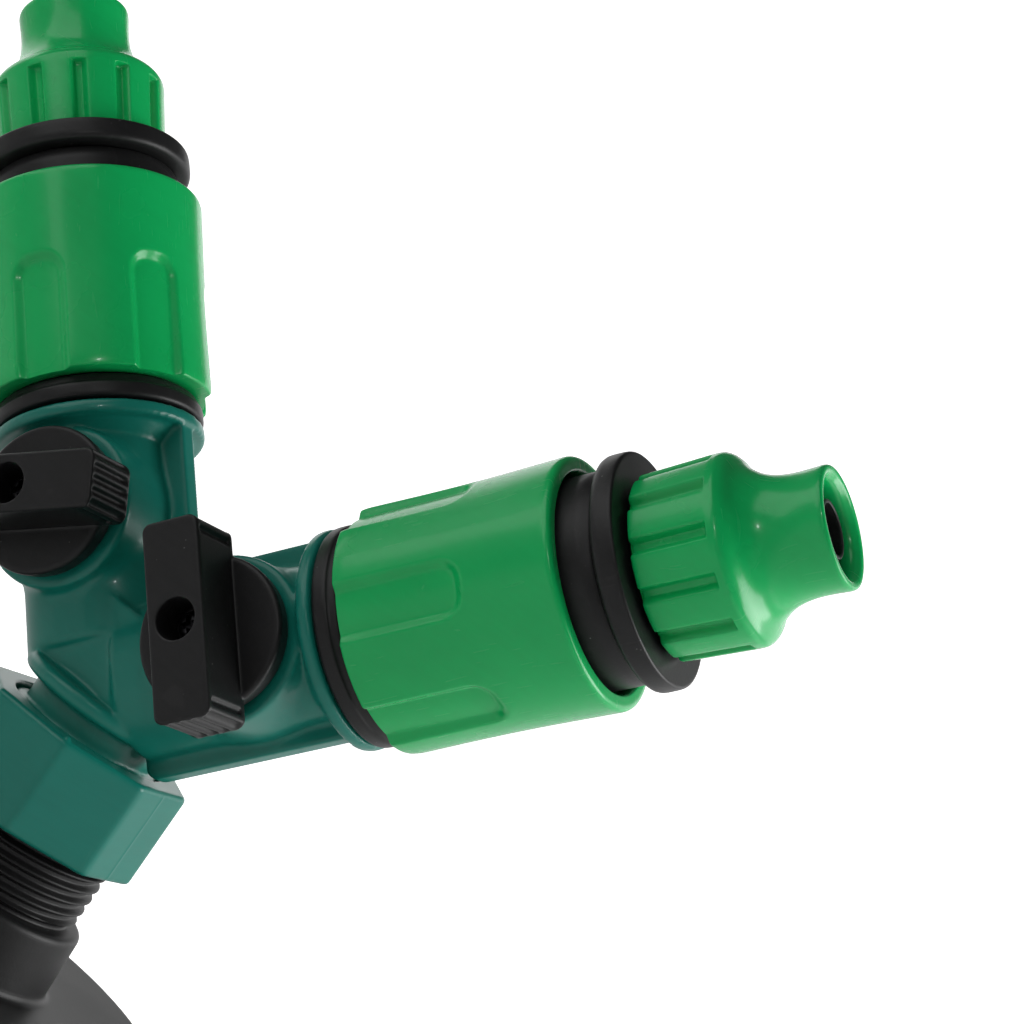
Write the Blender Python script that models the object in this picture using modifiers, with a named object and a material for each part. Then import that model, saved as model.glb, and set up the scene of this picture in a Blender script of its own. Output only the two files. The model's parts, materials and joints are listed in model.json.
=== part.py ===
"""Two-way garden tap splitter on a tank adapter, with a ball valve and a click connector on each arm.

The adapter cap stands on the ground plane with its axis on +Z.  Its male thread carries the swivel
nut, the nut holds the splitter body, and the two arms of the body rise at ARM_ANGLE to either side
in the XZ plane.  The valve knobs face -Y.  Every length below is in millimetres; MM turns it into
Blender's metres.
"""

import math

import bmesh
import bpy
from mathutils import Matrix

MM = 0.001
GAP = 0.3                # between faces that touch on the real thing
HAIR = 0.06              # taken off one of two flat faces that would otherwise meet in one plane
SMOOTH_ANGLE = 32        # degrees; sharper edges stay sharp
FINE = 28                # sides of a large round piece
PLAIN = 18               # sides of a middle-sized round piece
COARSE = 12              # sides of a small round piece

# Tank adapter: cap, neck and male thread in one moulding
CAP_HEIGHT = 28.0
CAP_TOP_R = 33.6
CAP_RIM_R = 34.9
CAP_BORE_R = 29.6
CAP_WALL_TOP = 4.0
CAP_THREAD_PITCH = 6.0
CAP_THREAD_DEPTH = 1.4
NECK_TOP = 37.9
NECK_R = 15.0
NECK_BORE_R = 9.5
THREAD_R = 13.2
THREAD_ROOT_R = 12.2
THREAD_PITCH = 1.81
THREAD_TOP = 55.0

# Splitter body
CENTRE_Z = 67.2          # where the two arm axes meet the inlet axis
ARM_ANGLE = 45.0
ARM_START = 4.6
FIN_START = 6.6
OUTER_FIN_START = {"left": 19.0, "right": 6.9}
ARM_HALF_WIDTH = 10.5
ARM_HALF_DEPTH = 10.0
ARM_EDGE_ROUND = 6.5
FIN_REACH_OUT = 13.0
FIN_REACH_IN = 14.0
FIN_THICK = 3.2
COLLAR_R = 14.5
COLLAR_START = 35.0
COLLAR_END = 37.1
FLARE_START = 33.4
PLUG_START = 32.9
BORE_R = 4.5
INLET_R = 12.4
INLET_BORE_R = 6.0
INLET_END = 5.0          # below the centre
SPIGOT_R = 11.1
SPIGOT_FLANGE_R = 13.1
SPIGOT_FLANGE = (7.9, 9.9)

# Swivel nut
NUT_TOP = 61.5
NUT_BOTTOM = 47.3
NUT_CORNER_R = 16.05
NUT_SIDES = 8
NUT_TURN = -18.0         # first corner, degrees about +Z
NUT_BORE_R = 13.6
NUT_LIP_R = 11.5
NUT_LIP = 1.8
NUT_CHAMFER = 0.8

# Valve, on each arm
VALVE_S = 23.5           # along the arm from the centre
BALL_R = 7.5
CHAMBER_R = 7.9
SEAT_NEAR = 5.0
SEAT_FAR = 8.8
BOSS_R = 11.2
BOSS_FACE = 12.0         # in front of the arm axis
STEM_R = 3.0
STEM_SQUARE = 4.2
KNOB_R = 10.4
KNOB_FACE = 15.7
HANDLE_TOP = 23.9
HANDLE_LENGTH = 26.2
HANDLE_WIDTH = 8.0
HANDLE_GROOVES = 2       # in each end of the handle
SCREW_WELL_R = 2.7
SCREW_WELL_FLOOR = 18.5
REST_TURN = {"left": -10.0, "right": 0.0}      # of each handle from square across its arm, degrees

# Outlet and click connector, along each arm from the centre
NIPPLE_R = 7.9
NIPPLE_LOCK_R = 8.6
NIPPLE_END = 55.0
RING_START = 37.4
RING_END = 40.9
RING_R = 14.5
SOCKET_R = 9.0
SEAL_BORE_R = 8.2
CLAWS = 4
CLAW_POCKET = (41.3, 45.7)
CLAW_POCKET_R = 11.6
SLEEVE_START = 41.2
SLEEVE_END = 70.8
SLEEVE_END_R = 16.4
SLEEVE_WAIST_R = 15.9
SLEEVE_GRIP_R = 16.05
SLEEVE_MOUTH_R = 14.9
SLEEVE_GRIPS = 6
GRIP_END = 58.5
GRIP_WIDTH = 7.4
SLIDE_R = 12.4           # body under the sleeve's lip
BODY_R = 13.6            # body behind it
BODY_STEP = 60.0
TAIL_FLANGE = (75.2, 78.4)
TAIL_FLANGE_R = 15.1
TAIL_THREAD_R = 10.2
BARB_R = 4.05
BARB_END = 101.2
BARB_BORE_R = 2.6

# Hose nut
HOSE_NUT_START = 79.0
FLUTE_END = 89.1
HOSE_NUT_END = 102.4
HOSE_NUT_START_R = 11.8
HOSE_NUT_RIDGE_R = 12.25
HOSE_NUT_BELL = ((96.6, 7.7), (94.1, 8.45), (92.1, 9.8))     # stations and radii
HOSE_NUT_WAIST_R = 7.7
HOSE_NUT_NOSE_R = 7.9
HOSE_BORE_R = 6.0
FLUTES = 12
HOSE_NUT_SIDES = 24

COLOURS = {              # red, green, blue, roughness, metallic
    "dark_grey": (0.035, 0.035, 0.037, 0.55, 0.0),
    "black": (0.012, 0.012, 0.012, 0.5, 0.0),
    "teal": (0.0, 0.19, 0.145, 0.35, 0.0),
    "green": (0.01, 0.36, 0.09, 0.3, 0.0),
    "rubber": (0.01, 0.01, 0.01, 0.8, 0.0),
    "seat": (0.8, 0.8, 0.78, 0.45, 0.0),
    "grip": (0.85, 0.36, 0.03, 0.4, 0.0),
    "ball": (0.75, 0.76, 0.78, 0.15, 1.0),
    "steel": (0.62, 0.62, 0.62, 0.3, 1.0),
}

parts = bpy.data.collections.new("tap_splitter")
cutters = bpy.data.collections.new("cutters")


def empty(name, parent=None, location=(0, 0, 0), rotation=(0, 0, 0)):
    """A joint or mounting point; location in millimetres, rotation in degrees."""
    point = bpy.data.objects.new(name, None)
    point.parent = parent
    point.location = [value * MM for value in location]
    point.rotation_euler = [math.radians(angle) for angle in rotation]
    parts.objects.link(point)
    return point


def new_object(name, mesh, parent):
    thing = bpy.data.objects.new(name, mesh)
    thing.parent = parent
    parts.objects.link(thing)
    return thing


def screw(thing, steps):
    """Turn the outline in the XZ plane about Z into a closed round body."""
    turn = thing.modifiers.new("Turn", "SCREW")
    turn.steps = steps
    turn.render_steps = steps
    turn.use_merge_vertices = True
    turn.merge_threshold = 0.00001


def turned(name, outline, steps, parent=None):
    """A turned body from an outline of (radius, height), down the outside first.

    Where the outline starts off the axis the body is a ring, and the outline closes on itself."""
    mesh = bpy.data.meshes.new(name)
    points = [(radius * MM, 0.0, height * MM) for radius, height in outline]
    edges = [(i, i + 1) for i in range(len(points) - 1)]
    if outline[0][0] > 0:
        edges.append((len(points) - 1, 0))
    mesh.from_pydata(points, edges, [])
    thing = new_object(name, mesh, parent)
    screw(thing, steps)
    return thing


def block(name, low, high, parent=None):
    """A box between two corners."""
    mesh = bpy.data.meshes.new(name)
    shape = bmesh.new()
    size = [(b - a) * MM for a, b in zip(low, high)]
    middle = [(a + b) * MM / 2 for a, b in zip(low, high)]
    place = Matrix.Translation(middle) @ Matrix.Diagonal((*size, 1.0))
    bmesh.ops.create_cube(shape, size=1.0, matrix=place)
    shape.to_mesh(mesh)
    shape.free()
    return new_object(name, mesh, parent)


def plate(name, outline, half_thick, parent):
    """A flat plate in the XZ plane from an outline of (x, z)."""
    mesh = bpy.data.meshes.new(name)
    shape = bmesh.new()
    corners = [shape.verts.new((x * MM, -half_thick * MM, z * MM)) for x, z in outline]
    raised = bmesh.ops.extrude_face_region(shape, geom=[shape.faces.new(corners)])["geom"]
    top = [corner for corner in raised if isinstance(corner, bmesh.types.BMVert)]
    bmesh.ops.translate(shape, verts=top, vec=(0, 2 * half_thick * MM, 0))
    bmesh.ops.recalc_face_normals(shape, faces=shape.faces)
    shape.to_mesh(mesh)
    shape.free()
    return new_object(name, mesh, parent)


def cylinder(name, radius, low, high, sides, parent=None):
    """A cylinder along Z between two heights."""
    mesh = bpy.data.meshes.new(name)
    shape = bmesh.new()
    bmesh.ops.create_cone(
        shape,
        cap_ends=True,
        segments=sides,
        radius1=radius * MM,
        radius2=radius * MM,
        depth=(high - low) * MM,
        matrix=Matrix.Translation((0, 0, (low + high) * MM / 2)),
    )
    shape.to_mesh(mesh)
    shape.free()
    return new_object(name, mesh, parent)


def ball_shape(name, radius, parent=None, segments=14, rings=8):
    mesh = bpy.data.meshes.new(name)
    shape = bmesh.new()
    bmesh.ops.create_uvsphere(shape, u_segments=segments, v_segments=rings, radius=radius * MM)
    shape.to_mesh(mesh)
    shape.free()
    return new_object(name, mesh, parent)


def o_ring(name, middle_r, wire_r, height, steps, parent, sides=6):
    """A torus as a turned circle."""
    angles = [math.pi / 2 - 2 * math.pi * i / sides for i in range(sides)]
    outline = [(middle_r + wire_r * math.cos(a), height + wire_r * math.sin(a)) for a in angles]
    return turned(name, outline, steps, parent)


def bevel(thing, width, segments=2, angle=40):
    edges = thing.modifiers.new("Bevel", "BEVEL")
    edges.width = width * MM
    edges.segments = segments
    edges.limit_method = "ANGLE"
    edges.angle_limit = math.radians(angle)


def combine(thing, other, operation):
    """A Boolean with another shape, which then only serves as its operand."""
    step = thing.modifiers.new(operation.title(), "BOOLEAN")
    step.operation = operation
    step.solver = "EXACT"
    step.object = other
    if other.name in parts.objects:
        parts.objects.unlink(other)
        cutters.objects.link(other)
    other.hide_render = True
    other.display_type = "WIRE"


def cut(thing, *others):
    for other in others:
        combine(thing, other, "DIFFERENCE")


def join(thing, *others):
    for other in others:
        combine(thing, other, "UNION")


def paint(thing, colour):
    """The piece's own material."""
    red, green, blue, roughness, metallic = COLOURS[colour]
    material = bpy.data.materials.new(thing.name)
    material.use_nodes = True
    shader = material.node_tree.nodes["Principled BSDF"]
    shader.inputs["Base Color"].default_value = (red, green, blue, 1.0)
    shader.inputs["Roughness"].default_value = roughness
    shader.inputs["Metallic"].default_value = metallic
    thing.data.materials.append(material)


# ---------------------------------------------------------------- tank adapter, seals and swivel nut

def ridges(top, bottom, pitch, root, crest):
    """Radius and height down a row of ridges, from a crest at the top to a root at the bottom."""
    count = round((top - bottom) / pitch)
    step = (top - bottom) / count
    outline = []
    for i in range(count):
        outline.append((crest, top - (i + 0.35) * step))
        outline.append((root, top - (i + 0.9) * step))
    return outline


def make_tank_cap():
    """Open-bottomed cap with a coarse inner thread, a neck, and a male thread the nut runs on."""
    inner_top = CAP_HEIGHT - CAP_WALL_TOP
    inner = []
    turns = 3
    for i in range(turns):
        middle = 4.0 + i * CAP_THREAD_PITCH
        inner.append((CAP_BORE_R, middle - 1.6))
        inner.append((CAP_BORE_R - CAP_THREAD_DEPTH, middle))
        inner.append((CAP_BORE_R, middle + 1.6))
    outline = [
        (THREAD_ROOT_R - 0.5, THREAD_TOP),
        *ridges(THREAD_TOP - 0.6, NECK_TOP + 0.6, THREAD_PITCH, THREAD_ROOT_R, THREAD_R),
        (THREAD_ROOT_R, NECK_TOP),
        (NECK_R, NECK_TOP),
        (NECK_R, CAP_HEIGHT + 1.0),
        (NECK_R + 1.2, CAP_HEIGHT),
        (CAP_TOP_R - 1.0, CAP_HEIGHT),
        (CAP_TOP_R, CAP_HEIGHT - 1.0),
        (CAP_RIM_R, 0.0),
        (CAP_BORE_R, 0.0),
        *inner,
        (CAP_BORE_R, inner_top),
        (NECK_BORE_R, inner_top),
        (NECK_BORE_R, THREAD_TOP),
    ]
    cap = turned("tank_cap", outline, FINE)
    paint(cap, "dark_grey")


def make_seals():
    """The flat gasket inside the cap and the washer between the thread's end and the spigot."""
    top = CAP_HEIGHT - CAP_WALL_TOP - GAP
    floor = top - 2.4
    gasket = turned("cap_gasket", [(29.0, top), (29.0, floor), (23.0, floor), (23.0, top)], PLAIN)
    low = THREAD_TOP + GAP
    high = CENTRE_Z - SPIGOT_FLANGE[1] - GAP
    washer = turned("inlet_washer", [(12.6, high), (12.6, low), (7.0, low), (7.0, high)], PLAIN)
    paint(gasket, "rubber")
    paint(washer, "rubber")


def make_swivel_nut():
    """Eight-sided nut with a bore for the thread and a lip that holds the spigot's flange."""
    nut = cylinder("swivel_nut", NUT_CORNER_R, NUT_BOTTOM, NUT_TOP, NUT_SIDES)
    nut.data.transform(Matrix.Rotation(math.radians(NUT_TURN), 4, "Z"))
    bevel(nut, NUT_CHAMFER, segments=1, angle=60)
    floor = NUT_TOP - NUT_LIP
    bore = turned(
        "nut_bore",
        [
            (0.0, NUT_TOP + 2),
            (NUT_LIP_R, NUT_TOP + 2),
            (NUT_LIP_R, floor),
            (NUT_BORE_R, floor),
            (NUT_BORE_R, NUT_BOTTOM - 2),
            (0.0, NUT_BOTTOM - 2),
        ],
        FINE,
    )
    cut(nut, bore)
    paint(nut, "teal")


# ---------------------------------------------------------------- splitter body

def arm_solids(side, arm):
    """One arm: a rounded square tube, the fin in its middle plane, the collar and the valve boss."""
    trim = HAIR if side == "left" else 0.0
    depth = ARM_HALF_DEPTH - trim
    tube = block(
        f"arm_tube_{side}",
        (-ARM_HALF_WIDTH, -depth, ARM_START),
        (ARM_HALF_WIDTH, depth, COLLAR_START + 0.5),
        arm,
    )
    bevel(tube, ARM_EDGE_ROUND, segments=2)
    outward = 1 if side == "right" else -1
    fin_end = COLLAR_START + 0.3
    outer_start = OUTER_FIN_START[side]
    fin = plate(
        f"arm_fin_{side}",
        [
            (-outward * FIN_REACH_IN, FIN_START),
            (0.0, FIN_START),
            (0.0, outer_start),
            (outward * FIN_REACH_OUT, outer_start),
            (outward * FIN_REACH_OUT, fin_end),
            (-outward * FIN_REACH_IN, fin_end),
        ],
        FIN_THICK / 2 - trim,
        arm,
    )
    collar = turned(
        f"arm_collar_{side}",
        [
            (0.0, COLLAR_END),
            (COLLAR_R - 0.4, COLLAR_END),
            (COLLAR_R, COLLAR_END - 0.4),
            (COLLAR_R, COLLAR_START),
            (ARM_HALF_WIDTH - 1.0, FLARE_START),
            (0.0, FLARE_START),
        ],
        FINE,
        arm,
    )
    valve = empty(f"boss_axis_{side}", arm, (0, 0, VALVE_S), (90, 0, 0))
    boss = cylinder(f"valve_boss_{side}", BOSS_R, -2.0, BOSS_FACE, FINE, valve)
    return tube, fin, collar, boss


def arm_bores(side, arm):
    """The waterway, the ball's chamber, the pocket for the outlet and the stem's bore."""
    waterway = turned(
        f"waterway_{side}",
        [
            (0.0, COLLAR_END + 3),
            (SOCKET_R, COLLAR_END + 3),
            (SOCKET_R, PLUG_START - GAP),
            (CHAMBER_R, PLUG_START - GAP),
            (CHAMBER_R, VALVE_S - SEAT_FAR - GAP),
            (BORE_R, VALVE_S - SEAT_FAR - GAP),
            (BORE_R, 0.5),
            (0.0, 0.5),
        ],
        PLAIN,
        arm,
    )
    valve = empty(f"stem_axis_{side}", arm, (0, 0, VALVE_S), (90, 0, 0))
    stem_bore = cylinder(f"stem_bore_{side}", STEM_R + GAP, 2.0, BOSS_FACE + 3, COARSE, valve)
    return waterway, stem_bore


def make_splitter_body(centre, arms):
    """Both arms and the inlet joined, then bored."""
    body = turned(
        "splitter_body",
        [
            (0.0, 9.0),
            (INLET_R - 3.0, 8.0),
            (INLET_R, 5.0),
            (INLET_R, -1.6),
            (INLET_R + 0.8, -2.4),
            (INLET_R + 0.8, -4.4),
            (INLET_R, -INLET_END),
            (SPIGOT_R, -INLET_END),
            (SPIGOT_R, -SPIGOT_FLANGE[0]),
            (SPIGOT_FLANGE_R, -SPIGOT_FLANGE[0]),
            (SPIGOT_FLANGE_R, -SPIGOT_FLANGE[1]),
            (0.0, -SPIGOT_FLANGE[1]),
        ],
        FINE,
        centre,
    )
    for side, arm in arms.items():
        join(body, *arm_solids(side, arm))
    inlet_bore = cylinder("inlet_bore", INLET_BORE_R, -SPIGOT_FLANGE[1] - 2, 4.0, PLAIN, centre)
    cut(body, inlet_bore)
    for side, arm in arms.items():
        cut(body, *arm_bores(side, arm))
    paint(body, "teal")


# ---------------------------------------------------------------- valve

def make_valve_ball(side, valve):
    """A ball bored across, closed at rest, with a slot for the stem's blade."""
    ball = ball_shape(f"valve_ball_{side}", BALL_R, valve)
    turn = empty(f"ball_bore_axis_{side}", valve, rotation=(0, 90, 0))
    bore = cylinder(f"ball_bore_{side}", BORE_R - 0.5, -BALL_R - 1, BALL_R + 1, COARSE, turn)
    slot = block(f"ball_slot_{side}", (-2.8, -1.1, 5.2), (2.8, 1.1, BALL_R + 1), valve)
    cut(ball, bore, slot)
    paint(ball, "ball")


def make_ball_seats(side, arm):
    """A seal ring on each side of the ball."""
    outline = [(7.5, SEAT_FAR), (7.5, SEAT_NEAR), (6.1, SEAT_NEAR), (4.4, 6.6), (4.4, SEAT_FAR)]
    flipped = [(radius, -height) for radius, height in reversed(outline)]
    for place, ring in (("outer", outline), ("inner", flipped)):
        seat = turned(f"ball_seat_{place}_{side}", [(r, h + VALVE_S) for r, h in ring], PLAIN, arm)
        paint(seat, "seat")


def make_valve_stem(side, valve):
    """A round stem with an O-ring groove, a blade for the ball and a square for the knob."""
    stem = turned(
        f"valve_stem_{side}",
        [
            (0.0, BOSS_FACE - 0.5),
            (STEM_R, BOSS_FACE - 0.5),
            (STEM_R, 10.3),
            (2.1, 10.3),
            (2.1, 9.1),
            (STEM_R, 9.1),
            (STEM_R, 8.0),
            (0.0, 8.0),
        ],
        COARSE,
        valve,
    )
    blade = block(f"stem_blade_{side}", (-2.4, -0.8, 5.6), (2.4, 0.8, 8.6), valve)
    half = STEM_SQUARE / 2
    square = block(f"stem_square_{side}", (-half, -half, BOSS_FACE - 1.5), (half, half, 15.0), valve)
    hole = cylinder(f"stem_hole_{side}", 1.5, 8.8, 17.0, 12, valve)
    join(stem, blade, square)
    cut(stem, hole)
    paint(stem, "black")
    ring = o_ring(f"stem_o_ring_{side}", 2.72, 0.42, 9.7, COARSE, valve)
    paint(ring, "rubber")


def make_valve_knob(side, valve):
    """A round base with a bar handle across it, a square socket below and a screw well above."""
    knob = turned(
        f"valve_knob_{side}",
        [
            (0.0, KNOB_FACE),
            (KNOB_R - 0.6, KNOB_FACE),
            (KNOB_R, KNOB_FACE - 0.6),
            (KNOB_R, BOSS_FACE + GAP),
            (0.0, BOSS_FACE + GAP),
        ],
        PLAIN,
        valve,
    )
    long = HANDLE_LENGTH / 2
    wide = HANDLE_WIDTH / 2
    handle = block(f"handle_{side}", (-long, -wide, KNOB_FACE - 1.0), (long, wide, HANDLE_TOP), valve)
    bevel(handle, 0.9, segments=1)
    join(knob, handle)
    half = STEM_SQUARE / 2 + GAP
    socket = block(f"knob_socket_{side}", (-half, -half, BOSS_FACE - 1.0), (half, half, 15.3), valve)
    well = turned(
        f"screw_well_{side}",
        [
            (0.0, HANDLE_TOP + 2),
            (SCREW_WELL_R, HANDLE_TOP + 2),
            (SCREW_WELL_R, SCREW_WELL_FLOOR),
            (1.5, SCREW_WELL_FLOOR),
            (1.5, 14.8),
            (0.0, 14.8),
        ],
        COARSE,
        valve,
    )
    cut(knob, socket, well)
    for end in (-1, 1):
        for i in range(HANDLE_GROOVES):
            across = (i - (HANDLE_GROOVES - 1) / 2) * 2.3
            groove = block(
                f"handle_groove_{side}_{end}_{i}",
                (end * long - 0.5, across - 0.45, KNOB_FACE - 3.0),
                (end * long + 0.5, across + 0.45, HANDLE_TOP - 1.2),
                valve,
            )
            cut(knob, groove)
    paint(knob, "black")


def make_knob_screw(side, valve):
    """The pan-head screw that holds the knob down."""
    screw_body = turned(
        f"knob_screw_{side}",
        [
            (0.0, SCREW_WELL_FLOOR + 2.0),
            (1.3, SCREW_WELL_FLOOR + 1.9),
            (2.0, SCREW_WELL_FLOOR + 1.2),
            (2.0, SCREW_WELL_FLOOR + GAP),
            (1.2, SCREW_WELL_FLOOR + GAP),
            (1.2, 10.0),
            (0.0, 9.2),
        ],
        12,
        valve,
    )
    paint(screw_body, "steel")


# ---------------------------------------------------------------- outlet, connector and hose nut

def make_outlet_nipple(side, arm):
    """The plug in the collar and the nipple that the click connector pushes on to."""
    nipple = turned(
        f"outlet_nipple_{side}",
        [
            (NIPPLE_R - 0.4, NIPPLE_END),
            (NIPPLE_R, 52.8),
            (6.3, 52.8),
            (6.3, 50.4),
            (NIPPLE_R, 50.4),
            (NIPPLE_R, 46.2),
            (NIPPLE_LOCK_R, 44.6),
            (NIPPLE_LOCK_R, 43.2),
            (6.9, 42.6),
            (6.9, COLLAR_END),
            (SOCKET_R - GAP, COLLAR_END),
            (SOCKET_R - GAP, PLUG_START),
            (BORE_R, PLUG_START),
            (BORE_R, NIPPLE_END),
        ],
        PLAIN,
        arm,
    )
    paint(nipple, "teal")
    ring = o_ring(f"nipple_o_ring_{side}", 7.2, 0.75, 51.6, PLAIN, arm)
    paint(ring, "rubber")


def make_connector_body(side, spin):
    """The connector's socket: front ring, claw pocket with its windows, and the sleeve's shoulder."""
    body = turned(
        f"connector_body_{side}",
        [
            (BODY_R, TAIL_FLANGE[0] - GAP),
            (BODY_R, BODY_STEP),
            (SLIDE_R, BODY_STEP),
            (SLIDE_R, RING_END),
            (RING_R, RING_END),
            (RING_R, RING_START),
            (SOCKET_R, RING_START),
            (SOCKET_R, CLAW_POCKET[0]),
            (CLAW_POCKET_R, CLAW_POCKET[0]),
            (CLAW_POCKET_R, CLAW_POCKET[1]),
            (SOCKET_R, CLAW_POCKET[1]),
            (SOCKET_R, 47.6),
            (SEAL_BORE_R, 48.6),
            (SEAL_BORE_R, 56.0),
            (BORE_R, 56.0),
            (BORE_R, 60.0),
            (9.0, 62.0),
            (9.0, TAIL_FLANGE[0] - GAP),
        ],
        PLAIN,
        spin,
    )
    for i in range(CLAWS):
        turn = empty(f"window_axis_{side}_{i}", spin, rotation=(0, 0, 360 / CLAWS * i))
        window = block(f"claw_window_{side}_{i}", (10.0, -2.4, 42.4), (SLIDE_R + 1, 2.4, 45.2), turn)
        cut(body, window)
    paint(body, "black")


def make_claw_ring(side, spin):
    """A slotted ring in the pocket: claws behind the nipple's ridge, heels under the sleeve's lip."""
    low = CLAW_POCKET[0] + GAP
    high = CLAW_POCKET[1] - GAP
    outer = CLAW_POCKET_R - GAP
    ring = turned(
        f"claw_ring_{side}",
        [(outer, high), (outer, low), (7.3, low), (7.3, 42.3), (9.3, 43.3), (9.3, high)],
        PLAIN,
        spin,
    )
    for i in range(CLAWS):
        turn = empty(f"claw_axis_{side}_{i}", spin, rotation=(0, 0, 360 / CLAWS * i))
        far = SLIDE_R - 0.1
        heel = block(f"claw_heel_{side}_{i}", (outer - 1.0, -2.0, 42.8), (far, 2.0, 44.8), turn)
        join(ring, heel)
    for i in range(CLAWS):
        turn = empty(f"slot_axis_{side}_{i}", spin, rotation=(0, 0, 360 / CLAWS * (i + 0.5)))
        slot = block(f"claw_slot_{side}_{i}", (6.0, -0.7, low - 1), (outer - 0.8, 0.7, 44.0), turn)
        cut(ring, slot)
    paint(ring, "grip")


def sleeve_outline():
    """The sleeve's outside, from the far rim down to the mouth."""
    middle = (SLEEVE_START + SLEEVE_END) / 2
    return [
        (SLEEVE_END_R - 0.8, SLEEVE_END),
        (SLEEVE_END_R, SLEEVE_END - 0.8),
        (SLEEVE_WAIST_R, middle),
        (SLEEVE_GRIP_R, SLEEVE_START + 2.2),
        (SLEEVE_MOUTH_R, SLEEVE_START),
    ]


def make_release_sleeve(side, slide):
    """The sleeve that is pulled back to free the nipple, with six finger recesses."""
    sleeve = turned(
        f"release_sleeve_{side}",
        [
            *sleeve_outline(),
            (SLIDE_R + GAP, SLEEVE_START),
            (SLIDE_R + GAP, 50.0),
            (BODY_R + 0.4, 51.5),
            (BODY_R + 0.4, SLEEVE_END),
        ],
        FINE,
        slide,
    )
    for i in range(SLEEVE_GRIPS):
        turn = empty(f"grip_axis_{side}_{i}", slide, rotation=(0, 0, 360 / SLEEVE_GRIPS * i + 30))
        recess = block(
            f"grip_recess_{side}_{i}",
            (SLEEVE_MOUTH_R, -GRIP_WIDTH / 2, SLEEVE_START - 3),
            (SLEEVE_END_R + 3, GRIP_WIDTH / 2, GRIP_END),
            turn,
        )
        bevel(recess, 2.4, segments=1)
        cut(sleeve, recess)
    paint(sleeve, "green")


def make_hose_tail(side, spin):
    """The plug in the connector's body, its flange, the thread for the hose nut and the barb."""
    start, end = TAIL_FLANGE
    outline = [(BARB_R - 1.0, BARB_END), (BARB_R, BARB_END - 1.4)]
    for foot in (96.5, 92.5):
        outline.append((BARB_R, foot + 0.3))
        outline.append((BARB_R - 0.55, foot))
    outline += [
        (BARB_R - 0.55, 87.6),
        (TAIL_THREAD_R - 0.6, 87.6),
        *ridges(87.0, 79.5, 2.5, TAIL_THREAD_R - 0.7, TAIL_THREAD_R),
        (TAIL_THREAD_R - 0.7, end),
        (TAIL_FLANGE_R, end - 0.4),
        (TAIL_FLANGE_R, start + 0.4),
        (8.7, start),
        (8.7, 66.0),
        (BARB_BORE_R, 66.0),
        (BARB_BORE_R, BARB_END),
    ]
    tail = turned(f"hose_tail_{side}", outline, PLAIN, spin)
    paint(tail, "black")


def make_hose_nut(side, nut_axis):
    """The nut that clamps the hose on the barb: fluted grip, bell and nose."""
    nut = turned(
        f"hose_nut_{side}",
        [
            (HOSE_NUT_NOSE_R, HOSE_NUT_END),
            (HOSE_NUT_WAIST_R, 98.4),
            *[(radius, station) for station, radius in HOSE_NUT_BELL],
            (HOSE_NUT_RIDGE_R - 0.25, FLUTE_END + 1.2),
            (HOSE_NUT_RIDGE_R, FLUTE_END),
            (HOSE_NUT_START_R, HOSE_NUT_START),
            (TAIL_THREAD_R + GAP, HOSE_NUT_START),
            (TAIL_THREAD_R + GAP, 88.4),
            (HOSE_BORE_R, 91.5),
            (HOSE_BORE_R, HOSE_NUT_END),
        ],
        HOSE_NUT_SIDES,
        nut_axis,
    )
    for i in range(FLUTES):
        turn = empty(f"flute_axis_{side}_{i}", nut_axis, rotation=(0, 0, 360 / FLUTES * i + 15))
        flute = block(
            f"flute_{side}_{i}",
            (HOSE_NUT_START_R - 0.75, -0.75, HOSE_NUT_START - 2),
            (HOSE_NUT_RIDGE_R + 2, 0.75, FLUTE_END),
            turn,
        )
        cut(nut, flute)
    paint(nut, "green")


# ---------------------------------------------------------------- assembly

def clear_scene():
    for thing in list(bpy.data.objects):
        bpy.data.objects.remove(thing, do_unlink=True)


def shade_pieces():
    """Each piece becomes the plain mesh its modifiers make, smooth but for its sharp edges."""
    bpy.context.view_layer.update()
    graph = bpy.context.evaluated_depsgraph_get()
    pieces = [thing for thing in parts.objects if thing.type == "MESH"]
    meshes = [bpy.data.meshes.new_from_object(piece.evaluated_get(graph)) for piece in pieces]
    for piece, mesh in zip(pieces, meshes):
        piece.modifiers.clear()
        piece.data = mesh
        mesh.name = piece.name
        mesh.shade_smooth()
        mesh.set_sharp_from_angle(angle=math.radians(SMOOTH_ANGLE))


def main():
    clear_scene()
    bpy.context.scene.collection.children.link(parts)
    bpy.context.scene.collection.children.link(cutters)
    make_tank_cap()
    make_seals()
    make_swivel_nut()
    centre = empty("splitter_centre", location=(0, 0, CENTRE_Z))
    arms = {
        "left": empty("arm_axis_left", centre, rotation=(0, -ARM_ANGLE, 0)),
        "right": empty("arm_axis_right", centre, rotation=(0, ARM_ANGLE, 0)),
    }
    make_splitter_body(centre, arms)
    for side, arm in arms.items():
        face = empty(f"valve_face_{side}", arm, (0, 0, VALVE_S), (90, 0, 0))
        valve = empty(f"valve_axis_{side}", face, rotation=(0, 0, REST_TURN[side]))
        make_valve_ball(side, valve)
        make_ball_seats(side, arm)
        make_valve_stem(side, valve)
        make_valve_knob(side, valve)
        make_knob_screw(side, valve)
        make_outlet_nipple(side, arm)
        make_connector_body(side, arm)
        make_claw_ring(side, arm)
        make_release_sleeve(side, arm)
        make_hose_tail(side, arm)
        make_hose_nut(side, arm)
    shade_pieces()


main()
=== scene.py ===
"""Finished surfaces, materials, light and camera of a two-way garden tap splitter.

Lengths are in metres. Every piece is modelled about its own axis and then moved, in its mesh, to the place
that the frame gives it. Details inside a piece are measured from that piece's ends.
"""

import json
import math

import bpy
import numpy as np
from bpy.props import FloatProperty, FloatVectorProperty, IntProperty, PointerProperty
from mathutils import Matrix, Vector


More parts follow.
